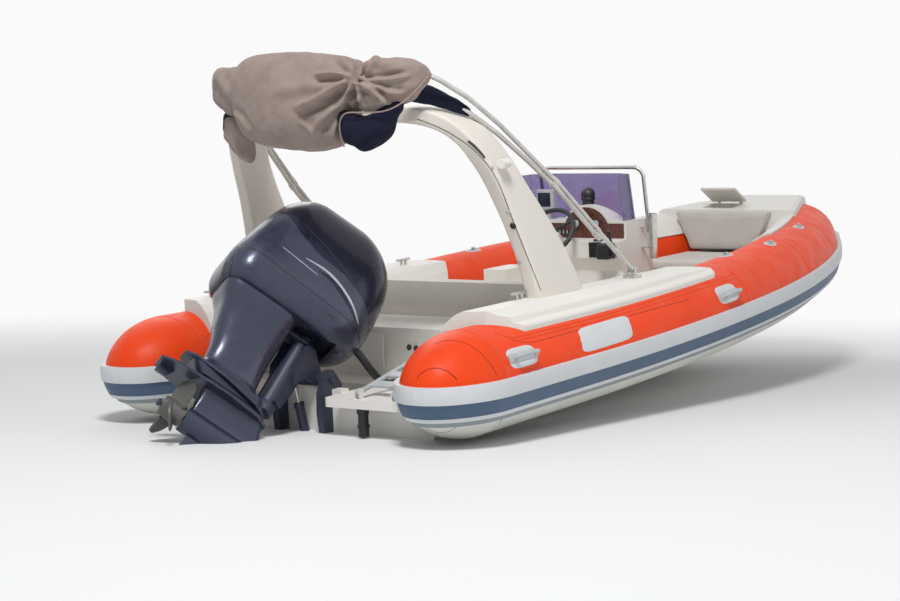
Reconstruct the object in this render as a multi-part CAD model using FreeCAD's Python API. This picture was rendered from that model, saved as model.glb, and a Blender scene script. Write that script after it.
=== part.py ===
import FreeCAD, Part
import math
import os

os.makedirs("parts", exist_ok=True)
V = FreeCAD.Vector

# Inflatable RIB boat afloat, in millimetres.
# Boat axes: +X starboard, +Y forward, +Z up; origin on the centreline at the water level, just forward of the
# transom. The whole boat is turned bow up by TRIM_DEG about that origin when it is written out.
TRIM_DEG = 4.0

# clearances
SKIN_GAP = 0.3
PIN_FIT = 0.05
JOINT_GAP = 2.0

# inflatable collar
TUBE_R = 260.0
TUBE_X = 936.0
TUBE_Z = 300.0
TUBE_HALF_GAP = 0.15
CONE_Y = -170.0
CONE_LENGTH = 380.0
CONE_NOSE_R = 200.0
BEND_Y = 2540.0
BOW_Y = 5475.0
PLAN_EXPONENT = 1.66
SHEER_Y = 650.0
SHEER_RISE = 180.0
SHEER_EXPONENT = 1.28
STATIONS_Y = (SHEER_Y, 2950.0, 4150.0, 4950.0)

# rubbing strake: top, bottom (from the tube's axis) and thickness of each band
STRAKE_BANDS = {
    "strake_lip": (40.0, -42.0, 26.0),
    "strake_band": (-42.3, -112.0, 19.0),
    "strake_piping": (-112.3, -132.0, 21.0),
    "strake_foot": (-132.3, -158.0, 10.0),
}

# collar fittings: station y, angle from outboard in degrees
GRAB_HANDLES = ((10.0, 27.0), (2230.0, 27.0))
PORT_HANDLES = ((2230.0, 27.0),)
LACING_EYES = ((2800.0, 95.0), (3380.0, 77.0), (4180.0, 77.0))
VALVES = ((-140.0, 118.0), (160.0, 26.0))
HANDLE_LENGTH = 250.0
HANDLE_HEIGHT = 62.0
HANDLE_STAND = 48.0

# V hull
FLOOR_Z = 140.0
TRANSOM_Y = -180.0
HULL_TABLE = (
    # station y, keel z, chine x, chine z, side x, deck z
    (TRANSOM_Y, -300.0, 715.0, -45.0, 850.0, FLOOR_Z),
    (2950.0, -292.0, 695.0, -5.0, 870.0, FLOOR_Z),
    (3600.0, -258.0, 630.0, 45.0, 790.0, 160.0),
    (4100.0, -205.0, 555.0, 92.0, 700.0, 185.0),
    (4500.0, -125.0, 470.0, 140.0, 600.0, 215.0),
    (5000.0, 50.0, 300.0, 200.0, 400.0, 262.0),
    (5330.0, 212.0, 130.0, 262.0, 205.0, 320.0),
    (5440.0, 262.0, 40.0, 300.0, 80.0, 350.0),
)

# transom, splash well and swim platforms
TRANSOM_THICK = 60.0
TRANSOM_TOP_Z = 230.0
PLATFORM_TOP_Z = 215.0
PLATFORM_THICK = 45.0
PLATFORM_Y = (-330.0, 60.0)
PLATFORM_X = (220.0, 680.0)
BULKHEAD_Y = 470.0
BULKHEAD_TOP_Z = 450.0
WELL_LEDGE_Y = 250.0
WELL_LEDGE_Z = 185.0

# aft bench
BENCH_FRONT_Y = 1450.0
BENCH_SEAT_Z = 400.0
BENCH_CUSHION = 90.0
BENCH_CUSHION_HALF_W = 640.0
LEDGE_FRONT_Y = 930.0
BOLSTER_Y = (905.0, 1030.0)
BOLSTER_Z = (490.0, 655.0)

# side decks: profile (outboard, up) from the tube's axis, outer lip first
DECK_PROFILE = (
    (150.0, 236.0), (144.0, 246.0), (112.0, 258.0), (102.0, 284.0), (94.0, 292.0), (64.0, 300.0),
    (38.0, 318.0), (26.0, 328.0), (-82.0, 328.0), (-128.0, 306.0), (-176.0, 264.0), (-214.0, 206.0),
    (-240.0, 140.0),
)
DECK_AFT_EDGE = ((1180.0, 330.0), (1100.0, 190.0), (960.0, 20.0), (700.0, -60.0), (600.0, -60.0))
DECK_FRONT_ARC = ((690.0, 2150.0), (940.0, 2310.0), (1110.0, 2215.0))
DECK_LEVEL = ((-400.0, 625.0), (1450.0, 625.0), (2000.0, 608.0), (2600.0, 604.0))

# arch
ARCH_TABLE = (
    # centre x, y, z, chord fore-aft, thickness
    (905.0, 792.0, 596.0, 440.0, 98.0),
    (868.0, 665.0, 880.0, 335.0, 90.0),
    (822.0, 530.0, 1130.0, 250.0, 86.0),
    (775.0, 412.0, 1330.0, 218.0, 84.0),
    (700.0, 305.0, 1480.0, 208.0, 84.0),
    (560.0, 225.0, 1562.0, 205.0, 84.0),
    (300.0, 175.0, 1590.0, 205.0, 80.0),
    (0.0, 165.0, 1596.0, 205.0, 78.0),
)
ARCH_SLOT = (50.0, 16.0, 9.0)

# sun canopy folded in its boot
CANOPY_PIVOT = (938.0, 1546.0, 668.0)
CANOPY_TUBE_R = 12.5
CANOPY_BEND_R = 420.0
CANOPY_EYE_R = 15.0
CANOPY_EYE_W = 28.0
CANOPY_PIN_R = 5.0
CANOPY_BOW = (
    CANOPY_PIVOT, (900.0, 1270.0, 893.0), (868.0, 920.0, 1172.0), (822.0, 700.0, 1345.0),
    (780.0, 490.0, 1510.0), (722.0, 300.0, 1652.0), (655.0, 90.0, 1768.0), (560.0, -100.0, 1800.0),
)
CANOPY_SECOND_BOW = (
    (902.0, 1262.0, 862.0), (868.0, 902.0, 1148.0), (818.0, 690.0, 1314.0), (768.0, 490.0, 1462.0),
    (700.0, 330.0, 1580.0), (600.0, 150.0, 1668.0), (480.0, -90.0, 1700.0),
)
BOOT_TABLE = (
    # x, centre y, centre z, half depth, half height, corner radius
    (-530.0, -20.0, 1685.0, 50.0, 112.0, 45.0),
    (-465.0, -85.0, 1660.0, 95.0, 188.0, 85.0),
    (-300.0, -165.0, 1655.0, 136.0, 230.0, 125.0),
    (-100.0, -195.0, 1665.0, 150.0, 238.0, 140.0),
    (200.0, -195.0, 1668.0, 150.0, 232.0, 140.0),
    (420.0, -190.0, 1705.0, 140.0, 165.0, 125.0),
    (620.0, -185.0, 1755.0, 110.0, 110.0, 95.0),
    (720.0, -180.0, 1765.0, 60.0, 62.0, 50.0),
)
BOOT_INNER_R = 1835.0

# bow deck, locker lid, backrest and seat
BOW_COVER_ANGLES = (97.0, 150.0)
BOW_COVER_THICK = 14.0
BOW_COVER_Y = 3750.0
BOW_DECK_TABLE = (
    # station y, half width, top z
    (4660.0, 520.0, 745.0),
    (4950.0, 420.0, 768.0),
    (5450.0, 235.0, 790.0),
    (5690.0, 150.0, 770.0),
)
BOW_DECK_BASE_Z = 520.0
LID_X = (-235.0, 35.0)
LID_Y = (4720.0, 4960.0)
LID_THICK = 18.0
LID_RECESS = 24.0
LID_OPEN_DEG = 28.0
LID_PIN_R = 4.0
BACKREST_Y = (4579.7, 4659.7)
BACKREST_Z = (462.0, 742.0)
BACKREST_HALF_W = (250.0, 368.0)
BOW_SEAT_Y = (3900.0, 4570.0)
BOW_SEAT_HALF_W = 330.0
BOW_SEAT_Z = 395.0
BOW_CUSHION = 62.0

# boarding ladder folded on the starboard platform
LADDER_X = (415.0, 635.0)
LADDER_HINGE = (-300.0, 246.0)
LADDER_LENGTH = 430.0
LADDER_SLOPE_DEG = 11.0
LADDER_TUBE_R = 12.5
LADDER_PIN_R = 6.0
LADDER_STEPS = (0.3, 0.62, 0.94)

# console
CONSOLE_X = (-300.0, 430.0)
CONSOLE_PROFILE = (
    (2385.0, FLOOR_Z + SKIN_GAP), (2385.0, 560.0), (2330.0, 640.0), (2330.0, 738.0), (2420.0, 752.0),
    (2420.0, 855.0), (2690.0, 855.0), (2740.0, 790.0), (2775.0, 520.0), (2800.0, FLOOR_Z + SKIN_GAP),
)
CONSOLE_EDGE_R = 24.0
HOOD_X = 160.0
HOOD_Z = 780.0
HOOD_R = 172.0
HOOD_Y = (2420.0, 2600.0)
DASH_THICK = 6.0
DASH_INSET = 14.0
GAUGES = ((92.0, 838.0), (160.0, 880.0), (228.0, 838.0))
GAUGE_R = 30.0
SCREEN_TOP_Z = 1132.0
SCREEN_RAKE = 62.0
SCREEN_THICK = 5.0
SCREEN_PLAN = ((-276.0, 2440.0), (-272.0, 2590.0), (-170.0, 2652.0), (300.0, 2652.0), (402.0, 2590.0), (406.0, 2440.0))
RAIL_R = 12.5
RAIL_TOP_Z = 1166.0
WHEEL_CENTRE = (20.0, 2225.0, 805.0)
WHEEL_R = 165.0
WHEEL_RIM_R = 14.0
WHEEL_RAKE_DEG = 35.0
WHEEL_SHAFT_R = 12.0
ROD_HOLDER = (505.0, 2620.0, 616.0, 888.0)
ROD_HOLDER_R = 25.0

# outboard engine, in its own upright frame: origin on the steering axis
ENGINE_TILT_DEG = 50.0
ENGINE_STEER_DEG = 37.0
ENGINE_Y = -83.0
ENGINE_Z = 551.0
TILT_AXIS = (150.0, -250.0)
PROP_Z = -868.0
PROP_R = 175.0
PROP_HUB_Y = -372.0
SHAFT_R = 12.0
KING_PIN_R = 24.0
TILT_TUBE_R = 15.0
SEAM_GAP = 3.0
SEAM = ((-620.0, 14.0), (320.0, -34.0))
CAP_EDGE = ((-700.0, 318.0), (-430.0, 303.0), (-330.0, 245.0), (-190.0, 194.0), (-20.0, 180.0), (95.0, 136.0),
            (185.0, 92.0), (228.0, 40.0), (262.0, -60.0))
COWL_TABLE = (
    # z, front y, rear y, half width, front corner radius, rear corner radius
    (-142.0, 150.0, -520.0, 176.0, 150.0, 110.0),
    (-112.0, 205.0, -545.0, 214.0, 180.0, 130.0),
    (-40.0, 250.0, -560.0, 234.0, 205.0, 140.0),
    (100.0, 264.0, -540.0, 238.0, 210.0, 145.0),
    (280.0, 250.0, -498.0, 228.0, 200.0, 150.0),
    (420.0, 200.0, -448.0, 200.0, 180.0, 145.0),
    (510.0, 110.0, -385.0, 152.0, 140.0, 120.0),
    (556.0, -20.0, -290.0, 74.0, 70.0, 65.0),
)
COWL_WALL = 8.0
LEG_TABLE = (
    (-142.3, -84.0, -508.0, 172.0, 80.0, 100.0),
    (-230.0, -88.0, -462.0, 142.0, 60.0, 80.0),
    (-340.0, -92.0, -428.0, 108.0, 50.0, 66.0),
    (-460.0, -88.0, -388.0, 84.0, 44.0, 56.0),
    (-548.0, -78.0, -384.0, 78.0, 40.0, 50.0),
    (-588.0, -40.0, -430.0, 92.0, 40.0, 50.0),
)
SPLASH_PLATE = (
    # y, half width, top z
    (-478.0, 40.0, -572.0), (-420.0, 88.0, -580.0), (-250.0, 118.0, -604.0), (-60.0, 108.0, -632.0), (10.0, 60.0, -642.0),
)
CAVITATION_PLATE = (
    (-562.0, 58.0, -676.0), (-480.0, 108.0, -676.0), (-200.0, 122.0, -676.0), (-20.0, 96.0, -676.0), (48.0, 40.0, -676.0),
)
PLATE_THICK = 11.0
STRUT_TABLE = (
    (-612.0, 0.0, -362.0, 66.0, 40.0, 40.0),
    (-690.0, 42.0, -314.0, 50.0, 34.0, 34.0),
    (-800.0, 70.0, -306.0, 34.0, 24.0, 24.0),
    (PROP_Z + 20.0, 88.0, -300.0, 40.0, 26.0, 26.0),
)
TORPEDO_R = 64.0
SKEG_DROP = 215.0
CLAMP_X = (122.0, 160.0)
CLAMP_R = 48.0
CLAMP_FOOT_Z = -62.0
RAM_BASE = (-200.0, -14.0)
RAM_EYE = (-280.8, 283.2)
RAM_R = 24.0
RAM_ROD_R = 9.0
RAM_RING_R = 25.0
HOSE_R = 21.0
HOSE_ROUTE = ((150.0, 6.0, 430.0), (176.0, 22.0, 392.0), (206.0, 40.0, 344.0), (232.0, 62.0, 290.0),
              (250.0, 100.0, 240.0), (258.0, 158.0, 209.0), (260.0, 222.0, 208.0))


def rotate_trim(shape):
    s = shape.copy()
    s.rotate(V(0, 0, 0), V(1, 0, 0), TRIM_DEG)
    return s


written = {}


def write(node, shape):
    """Write one node, turned to the trim."""
    out = rotate_trim(shape)
    out.exportStep("parts/" + node + ".step")
    written[node] = out


def mirror(shape):
    return shape.mirror(V(0, 0, 0), V(1, 0, 0))


def both(shape):
    return Part.makeCompound([shape, mirror(shape)])


def join(shapes):
    first = shapes[0]
    if len(shapes) == 1:
        return first
    return first.multiFuse(shapes[1:])


def largest(shape):
    """The biggest solid of a cut shape, without the slivers beside it."""
    return max(shape.Solids, key=lambda s: s.Volume)


def box(x0, x1, y0, y1, z0, z1):
    return Part.makeBox(x1 - x0, y1 - y0, z1 - z0, V(x0, y0, z0))


def upright_edges(shape):
    return [e for e in shape.Edges if abs(e.Vertexes[0].Z - e.Vertexes[-1].Z) > 0.9 * e.Length and e.Length > 1]


def rounded_box(x0, x1, y0, y1, z0, z1, r):
    s = box(x0, x1, y0, y1, z0, z1)
    return s.makeFillet(r, s.Edges)


def post(x0, x1, y0, y1, z0, z1, r):
    """Box with only its upright edges rounded."""
    s = box(x0, x1, y0, y1, z0, z1)
    return s.makeFillet(r, upright_edges(s))


def polygon(points):
    return Part.makePolygon(list(points) + [points[0]])


def prism(points, x0, x1):
    """Polygon of (y, z) points, extruded from x0 to x1."""
    face = Part.Face(polygon([V(x0, y, z) for y, z in points]))
    return face.extrude(V(x1 - x0, 0, 0))


def rod(a, b, r):
    a = V(*a)
    b = V(*b)
    d = b - a
    return Part.makeCylinder(r, d.Length, a, d)


def bent_rod(points, r, bend):
    """Round tube of straight runs with tangent arcs of radius bend at the corners."""
    pts = [V(*p) for p in points]
    pieces = []
    start = pts[0]
    for i in range(1, len(pts) - 1):
        d1 = (pts[i] - start).normalize()
        d2 = (pts[i + 1] - pts[i]).normalize()
        half = d1.getAngle(d2) / 2.0
        cut = bend * math.tan(half)
        p = pts[i] - d1 * cut
        pieces.append(rod(start, p, r))
        axis = d1.cross(d2).normalize()
        inward = axis.cross(d1)
        centre = p + inward * bend
        disc = Part.Face(Part.Wire(Part.makeCircle(r, p, d1)))
        pieces.append(disc.revolve(centre, axis, math.degrees(2.0 * half)))
        start = pts[i] + d2 * cut
    pieces.append(rod(start, pts[-1], r))
    return join(pieces)


def hose(name, points, r):
    """Cord of straight runs and arcs; each arc as large as its two runs allow."""
    pts = [V(*p) for p in points]
    pieces = []
    length = 0.0
    start = pts[0]
    for i in range(1, len(pts) - 1):
        d1 = (pts[i] - pts[i - 1])
        d2 = (pts[i + 1] - pts[i])
        half = d1.getAngle(d2) / 2.0
        cut = 0.45 * min(d1.Length, d2.Length)
        radius = cut / math.tan(half)
        d1.normalize()
        d2.normalize()
        p = pts[i] - d1 * cut
        pieces.append(rod(start, p, r))
        length += (p - start).Length + radius * 2.0 * half
        axis = d1.cross(d2).normalize()
        centre = p + axis.cross(d1) * radius
        disc = Part.Face(Part.Wire(Part.makeCircle(r, p, d1)))
        pieces.append(disc.revolve(centre, axis, math.degrees(2.0 * half)))
        start = pts[i] + d2 * cut
        print(name, "radius", round(radius, 1), "diameters", round(radius / (2 * r), 1))
    pieces.append(rod(start, pts[-1], r))
    length += (pts[-1] - start).Length
    solid = join(pieces)
    print(name, "length", round(length, 1), "volume ratio", round(solid.Volume / (math.pi * r * r * length), 4))
    return solid


def sheer(y):
    if y <= SHEER_Y:
        return 0.0
    return SHEER_RISE * ((y - SHEER_Y) / (BOW_Y - SHEER_Y)) ** SHEER_EXPONENT


def tube_centre(y):
    """Collar centreline on the starboard side at station y."""
    x = TUBE_X
    if y > BEND_Y:
        t = (y - BEND_Y) / (BOW_Y - BEND_Y)
        x = TUBE_X * max(0.0, 1.0 - t ** PLAN_EXPONENT) ** (1.0 / PLAN_EXPONENT)
    return V(x, y, TUBE_Z + sheer(y))


def tube_tangent(y):
    if y <= SHEER_Y:
        return V(0, 1, 0)
    if y >= BOW_Y - 0.5:
        return V(-1, 0, 0)
    return (tube_centre(y + 0.2) - tube_centre(y - 0.2)).normalize()


def biarc(p1, t1, p2, t2):
    """Two arcs that join p1 to p2 with tangents t1 and t2; each is (start, tangent, end)."""
    v = p2 - p1
    t = t1 + t2
    vt = v.dot(t)
    k = 2.0 * (1.0 - t1.dot(t2))
    if k < 1e-9:
        d = v.dot(v) / (4.0 * v.dot(t2))
    else:
        d = (-vt + math.sqrt(vt * vt + k * v.dot(v))) / k
    middle = (p1 + p2 + (t1 - t2) * d) * 0.5
    q1 = p1 + t1 * d
    tm = (middle - q1).normalize()
    return [(p1, t1, middle), (middle, tm, p2)]


def collar_path():
    """List of pieces: ("line", start, vector) and ("arc", centre, axis, degrees)."""
    start = V(TUBE_X, CONE_Y, TUBE_Z)
    first = tube_centre(STATIONS_Y[0])
    path = [("line", start, first - start)]
    ys = list(STATIONS_Y) + [BOW_Y]
    for a, b in zip(ys[:-1], ys[1:]):
        for p, t, m in biarc(tube_centre(a), tube_tangent(a), tube_centre(b), tube_tangent(b)):
            chord = m - p
            axis = t.cross(chord).normalize()
            inward = axis.cross(t)
            radius = chord.dot(chord) / (2.0 * inward.dot(chord))
            centre = p + inward * radius
            angle = 2.0 * math.asin(min(1.0, chord.Length / (2.0 * radius)))
            path.append(("arc", centre, axis, math.degrees(angle)))
    return path


PATH = collar_path()


def sweep(face, pieces, skip=0):
    """Carry a face, drawn at the path's start in the XZ plane, along the pieces after the first skip."""
    out = []
    current = face
    for i, piece in enumerate(pieces):
        if piece[0] == "line":
            if i >= skip:
                out.append(current.extrude(piece[2]))
            current = current.translated(piece[2])
        else:
            if i >= skip:
                out.append(current.revolve(piece[1], piece[2], piece[3]))
            current = current.copy()
            current.rotate(piece[1], piece[2], piece[3])
    return out


def section_point(u, v):
    return V(TUBE_X + u, CONE_Y, TUBE_Z + v)


def arc_edge(r, a0, a1):
    """Arc about the tube's axis, between two angles from outboard, in degrees."""
    pts = []
    for a in (a0, (a0 + a1) / 2.0, a1):
        pts.append(section_point(r * math.cos(math.radians(a)), r * math.sin(math.radians(a))))
    return Part.Arc(*pts).toShape()


def half_disc(r, up):
    v = TUBE_HALF_GAP if up else -TUBE_HALF_GAP
    a = math.degrees(math.asin(v / r))
    if up:
        edge = arc_edge(r, a, 180.0 - a)
    else:
        edge = arc_edge(r, 180.0 - a, 360.0 + a)
    ends = [edge.Vertexes[0].Point, edge.Vertexes[-1].Point]
    return Part.Face(Part.Wire([edge, Part.LineSegment(ends[1], ends[0]).toShape()]))


def cone_solid(extra):
    """The rounded end of the tube, as a full solid of revolution with its skin moved out by extra."""
    r = TUBE_R + extra
    nose = CONE_NOSE_R + extra
    length = CONE_LENGTH + extra
    c = length - nose
    h = (c * c - (r - nose) ** 2) / (2.0 * (r - nose))
    big = r + h
    d = V(c, h, 0).normalize()
    tx, tr = d.x * big, d.y * big - h
    mid = math.atan2(tx, tr + h) / 2.0
    p0 = (0.0, r)
    p1 = (big * math.sin(mid), big * math.cos(mid) - h)
    p2 = (tx, tr)
    a = math.atan2(tr, tx - c) / 2.0
    p3 = (c + nose * math.cos(a), nose * math.sin(a))
    p4 = (length, 0.0)

    def at(p):
        return V(TUBE_X, CONE_Y - p[0], TUBE_Z + p[1])

    wire = Part.Wire([
        Part.Arc(at(p0), at(p1), at(p2)).toShape(),
        Part.Arc(at(p2), at(p3), at(p4)).toShape(),
        Part.LineSegment(at(p4), at((0.0, 0.0))).toShape(),
        Part.LineSegment(at((0.0, 0.0)), at(p0)).toShape(),
    ])
    return Part.Face(wire).revolve(V(TUBE_X, CONE_Y, TUBE_Z), V(0, 1, 0), 360.0)


def slab(v0, v1):
    return box(TUBE_X - 400, TUBE_X + 400, CONE_Y - 500, CONE_Y, TUBE_Z + v0, TUBE_Z + v1)


def ring_side(starboard):
    """Starboard half and its mirror image, joined at the bow."""
    return join(starboard + [mirror(s) for s in starboard])


def collar_tools():
    """The whole collar, one clearance larger, as cutting solids for what seats on it."""
    r = TUBE_R + SKIN_GAP
    disc = Part.Face(Part.Wire(Part.makeCircle(r, V(TUBE_X, CONE_Y, TUBE_Z), V(0, 1, 0))))
    half = sweep(disc, PATH) + [cone_solid(SKIN_GAP)]
    return half + [mirror(s) for s in half]


COLLAR = collar_tools()


def path_at(y):
    """Point and direction of the built centreline at station y."""
    for kind, start, axis, degrees in [("line", s[1], s[2], 0.0) if s[0] == "line" else s for s in PATH]:
        if kind == "line":
            if y <= start.y + axis.y:
                return V(start.x, y, start.z), V(0, 1, 0)
            last = start + axis
            continue
        spoke = last - start
        end = FreeCAD.Rotation(axis, degrees).multVec(spoke) + start
        if y <= end.y:
            low, high = 0.0, degrees
            for _ in range(40):
                middle = (low + high) / 2.0
                if (FreeCAD.Rotation(axis, middle).multVec(spoke) + start).y < y:
                    low = middle
                else:
                    high = middle
            spoke = FreeCAD.Rotation(axis, low).multVec(spoke)
            return spoke + start, axis.cross(spoke).normalize()
        last = end


def on_collar(shape, y, angle):
    """Place a fitting on the collar: its +X faces out from the skin, its +Y runs along the tube."""
    c, t = path_at(y)
    u = t.cross(V(0, 0, 1)).normalize()
    w = u.cross(t)
    a = math.radians(angle)
    n = u * math.cos(a) + w * math.sin(a)
    k = n.cross(t)
    origin = c + n * TUBE_R
    m = FreeCAD.Matrix(n.x, t.x, k.x, origin.x, n.y, t.y, k.y, origin.y, n.z, t.z, k.z, origin.z, 0, 0, 0, 1)
    s = shape.copy()
    s.transformShape(m)
    return s


def make_collar():
    cone = cone_solid(0.0)
    upper = sweep(half_disc(TUBE_R, True), PATH)
    upper.append(cone.common(slab(TUBE_HALF_GAP, 400.0)))
    write("tube_upper", ring_side(upper))
    lower = sweep(half_disc(TUBE_R, False), PATH)
    lower.append(cone.common(slab(-400.0, -TUBE_HALF_GAP)))
    write("tube_lower", ring_side(lower))


def make_strake():
    inner_r = TUBE_R + SKIN_GAP
    inner_cone = cone_solid(SKIN_GAP)
    for node, (top, bottom, thick) in STRAKE_BANDS.items():
        outer_r = TUBE_R + thick
        outer = arc_edge(outer_r, math.degrees(math.asin(bottom / outer_r)),
                         math.degrees(math.asin(top / outer_r)))
        inner = arc_edge(inner_r, math.degrees(math.asin(bottom / inner_r)),
                         math.degrees(math.asin(top / inner_r)))
        o = [outer.Vertexes[0].Point, outer.Vertexes[-1].Point]
        i = [inner.Vertexes[0].Point, inner.Vertexes[-1].Point]
        face = Part.Face(Part.Wire([outer, Part.LineSegment(o[1], i[1]).toShape(), inner,
                                    Part.LineSegment(i[0], o[0]).toShape()]))
        pieces = sweep(face, PATH)
        pieces.append(cone_solid(thick).common(slab(bottom, top)).cut(inner_cone))
        write(node, ring_side(pieces))


def make_collar_fittings():
    """Moulded grab handles, lacing eyes and air valves, each seated on the tube's curve."""
    tool = [Part.makeCylinder(TUBE_R + SKIN_GAP, 900.0, V(-TUBE_R, -450, 0), V(0, 1, 0))]
    half = HANDLE_LENGTH / 2.0
    base = post(-18, 10, -half, half, -HANDLE_HEIGHT / 2.0, HANDLE_HEIGHT / 2.0, 3.0)
    base = base.makeFillet(24.0, [e for e in base.Edges if abs(e.Vertexes[0].X - e.Vertexes[-1].X) > 20])
    grip = bent_rod([(0, -half + 34, -4), (HANDLE_STAND, -half + 44, -4), (HANDLE_STAND, half - 44, -4),
                     (0, half - 34, -4)], 11.0, 22.0)
    handle = largest(join([base, grip]).cut(tool))
    handles = [on_collar(handle, y, a) for y, a in GRAB_HANDLES]
    handles += [mirror(on_collar(handle, y, a)) for y, a in PORT_HANDLES]
    write("grab_handles", Part.makeCompound(handles))
    pad = Part.makeCylinder(34.0, 30.0, V(-24, 0, 0), V(1, 0, 0))
    m = FreeCAD.Matrix()
    m.scale(V(1.0, 1.5, 0.62))
    pad = pad.transformGeometry(m)
    boss = Part.makeCylinder(13.0, 34.0, V(-14, 0, 0), V(1, 0, 0))
    bore = Part.makeCylinder(6.0, 60.0, V(11.0, -30, 0), V(0, 1, 0))
    eye = largest(join([pad, boss]).cut(tool + [bore]))
    eyes = [on_collar(eye, y, a) for y, a in LACING_EYES]
    ring = Part.makeCylinder(26.0, 26.0, V(-18, 0, 0), V(1, 0, 0)).cut(Part.makeCylinder(15.0, 4.0, V(4.5, 0, 0), V(1, 0, 0)))
    valve = largest(ring.cut(tool))
    first, second = [on_collar(valve, y, a) for y, a in VALVES]
    write("lacing_eyes", Part.makeCompound(eyes + [mirror(e) for e in eyes]))
    write("air_valves", Part.makeCompound([first, mirror(second)]))


def make_hull():
    wires = []
    for y, keel, cx, cz, sx, top in HULL_TABLE:
        wires.append(polygon([V(0, y, keel), V(cx, y, cz), V(sx, y, top), V(-sx, y, top), V(-cx, y, cz)]))
    hull = largest(Part.makeLoft(wires, True, True).cut(COLLAR))
    half_w = PLATFORM_X[0] - SKIN_GAP
    transom = box(-half_w, half_w, TRANSOM_Y, TRANSOM_Y + TRANSOM_THICK, FLOOR_Z - 5, TRANSOM_TOP_Z)
    hull = hull.fuse(transom)
    write("hull", hull)
    return hull


def make_platforms():
    x0, x1 = PLATFORM_X
    y0, y1 = PLATFORM_Y
    top = post(x0, x1, y0, y1, PLATFORM_TOP_Z - PLATFORM_THICK, PLATFORM_TOP_Z, 22.0)
    foot = box(x0 + 20, x1 - 20, TRANSOM_Y + 10, y1 - 10, FLOOR_Z + SKIN_GAP, PLATFORM_TOP_Z - 5)
    skirt = cone_solid(STRAKE_BANDS["strake_lip"][2] + JOINT_GAP)
    plain = largest(join([top, foot]).cut(COLLAR + [skirt]))
    # two hinge clamps on the starboard platform's edge, each with a pin for the ladder's rail
    y, z = LADDER_HINGE
    starboard = [plain]
    for x in LADDER_X:
        for side in (-1, 1):
            ear = x + side * (LADDER_TUBE_R + JOINT_GAP)
            a, b = sorted((ear, ear + side * 5.0))
            starboard.append(box(a, b, y - 14, y + 14, PLATFORM_TOP_Z - 2, z + 16))
        starboard.append(rod((x - 20, y, z), (x + 20, y, z), LADDER_PIN_R))
    write("swim_platforms", Part.makeCompound([join(starboard), mirror(plain)]))


def make_ladder():
    y, z = LADDER_HINGE
    a = math.radians(LADDER_SLOPE_DEG)
    dy, dz = math.cos(a), math.sin(a)
    parts = []
    for x in LADDER_X:
        parts.append(rod((x, y, z), (x, y + LADDER_LENGTH * dy, z + LADDER_LENGTH * dz), LADDER_TUBE_R))
        parts.append(Part.makeCylinder(13.0, 2 * LADDER_TUBE_R, V(x - LADDER_TUBE_R, y, z), V(1, 0, 0)))
    for k in LADDER_STEPS:
        tread = rounded_box(LADDER_X[0], LADDER_X[1], -34, 34, -8, 8, 6)
        tread.rotate(V(0, 0, 0), V(1, 0, 0), LADDER_SLOPE_DEG)
        tread.translate(V(0, y + LADDER_LENGTH * k * dy, z + LADDER_LENGTH * k * dz))
        parts.append(tread)
    bores = [rod((x - 30, y, z), (x + 30, y, z), LADDER_PIN_R + PIN_FIT) for x in LADDER_X]
    write("boarding_ladder", join(parts).cut(bores))


def make_canister():
    """Small black filter pot hung under the platform's edge."""
    x, y = LADDER_X[0] + 15, PLATFORM_Y[0] + 38
    top = PLATFORM_TOP_Z - PLATFORM_THICK - SKIN_GAP
    pot = join([Part.makeCylinder(31.0, 26.0, V(x, y, top - 26)), Part.makeCylinder(26.0, 118.0, V(x, y, top - 140)),
                Part.makeCylinder(31.0, 14.0, V(x, y, top - 96))])
    write("filter_canister", pot)


def make_bench():
    base = FLOOR_Z + SKIN_GAP
    profile = (
        (WELL_LEDGE_Y, base), (WELL_LEDGE_Y, WELL_LEDGE_Z), (BULKHEAD_Y, WELL_LEDGE_Z + 3),
        (BULKHEAD_Y + 25, BULKHEAD_TOP_Z), (LEDGE_FRONT_Y, BULKHEAD_TOP_Z + 5),
        (LEDGE_FRONT_Y, BOLSTER_Z[0] - SKIN_GAP), (LEDGE_FRONT_Y + 60, BOLSTER_Z[0] - SKIN_GAP),
        (LEDGE_FRONT_Y + 60, BENCH_SEAT_Z), (BENCH_FRONT_Y, BENCH_SEAT_Z), (BENCH_FRONT_Y, base),
    )
    half_w = TUBE_X + DECK_PROFILE[-1][0] - SKIN_GAP
    body = largest(prism(profile, -half_w, half_w).cut(COLLAR))
    # drains and the hatch's two knuckles in the aft bulkhead
    drains = [Part.makeCylinder(14.0, 40.0, V(x, BULKHEAD_Y - 20, 365.0), V(0, 1, 0)) for x in (165.0, 205.0)]
    write("bench_box", body.cut(drains).fuse(hatch_knuckles(True)))
    y0, y1 = BOLSTER_Y
    z0, z1 = BOLSTER_Z
    w = BENCH_CUSHION_HALF_W
    write("bench_backrest", rounded_box(-w, w, y0, y1, z0, z1, 18.0))
    write("bench_cushion", rounded_box(-w, w, LEDGE_FRONT_Y + 65, BENCH_FRONT_Y - 10, BENCH_SEAT_Z + SKIN_GAP,
                                       BENCH_SEAT_Z + BENCH_CUSHION, 22.0))


HATCH_X = (-250.0, 25.0)
HATCH_Z = (238.0, 420.0)
HATCH_THICK = 9.0
HATCH_PIN = (HATCH_X[0] - 9.0, BULKHEAD_Y - 14.0)
HATCH_KNUCKLE_R = 6.0


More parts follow.
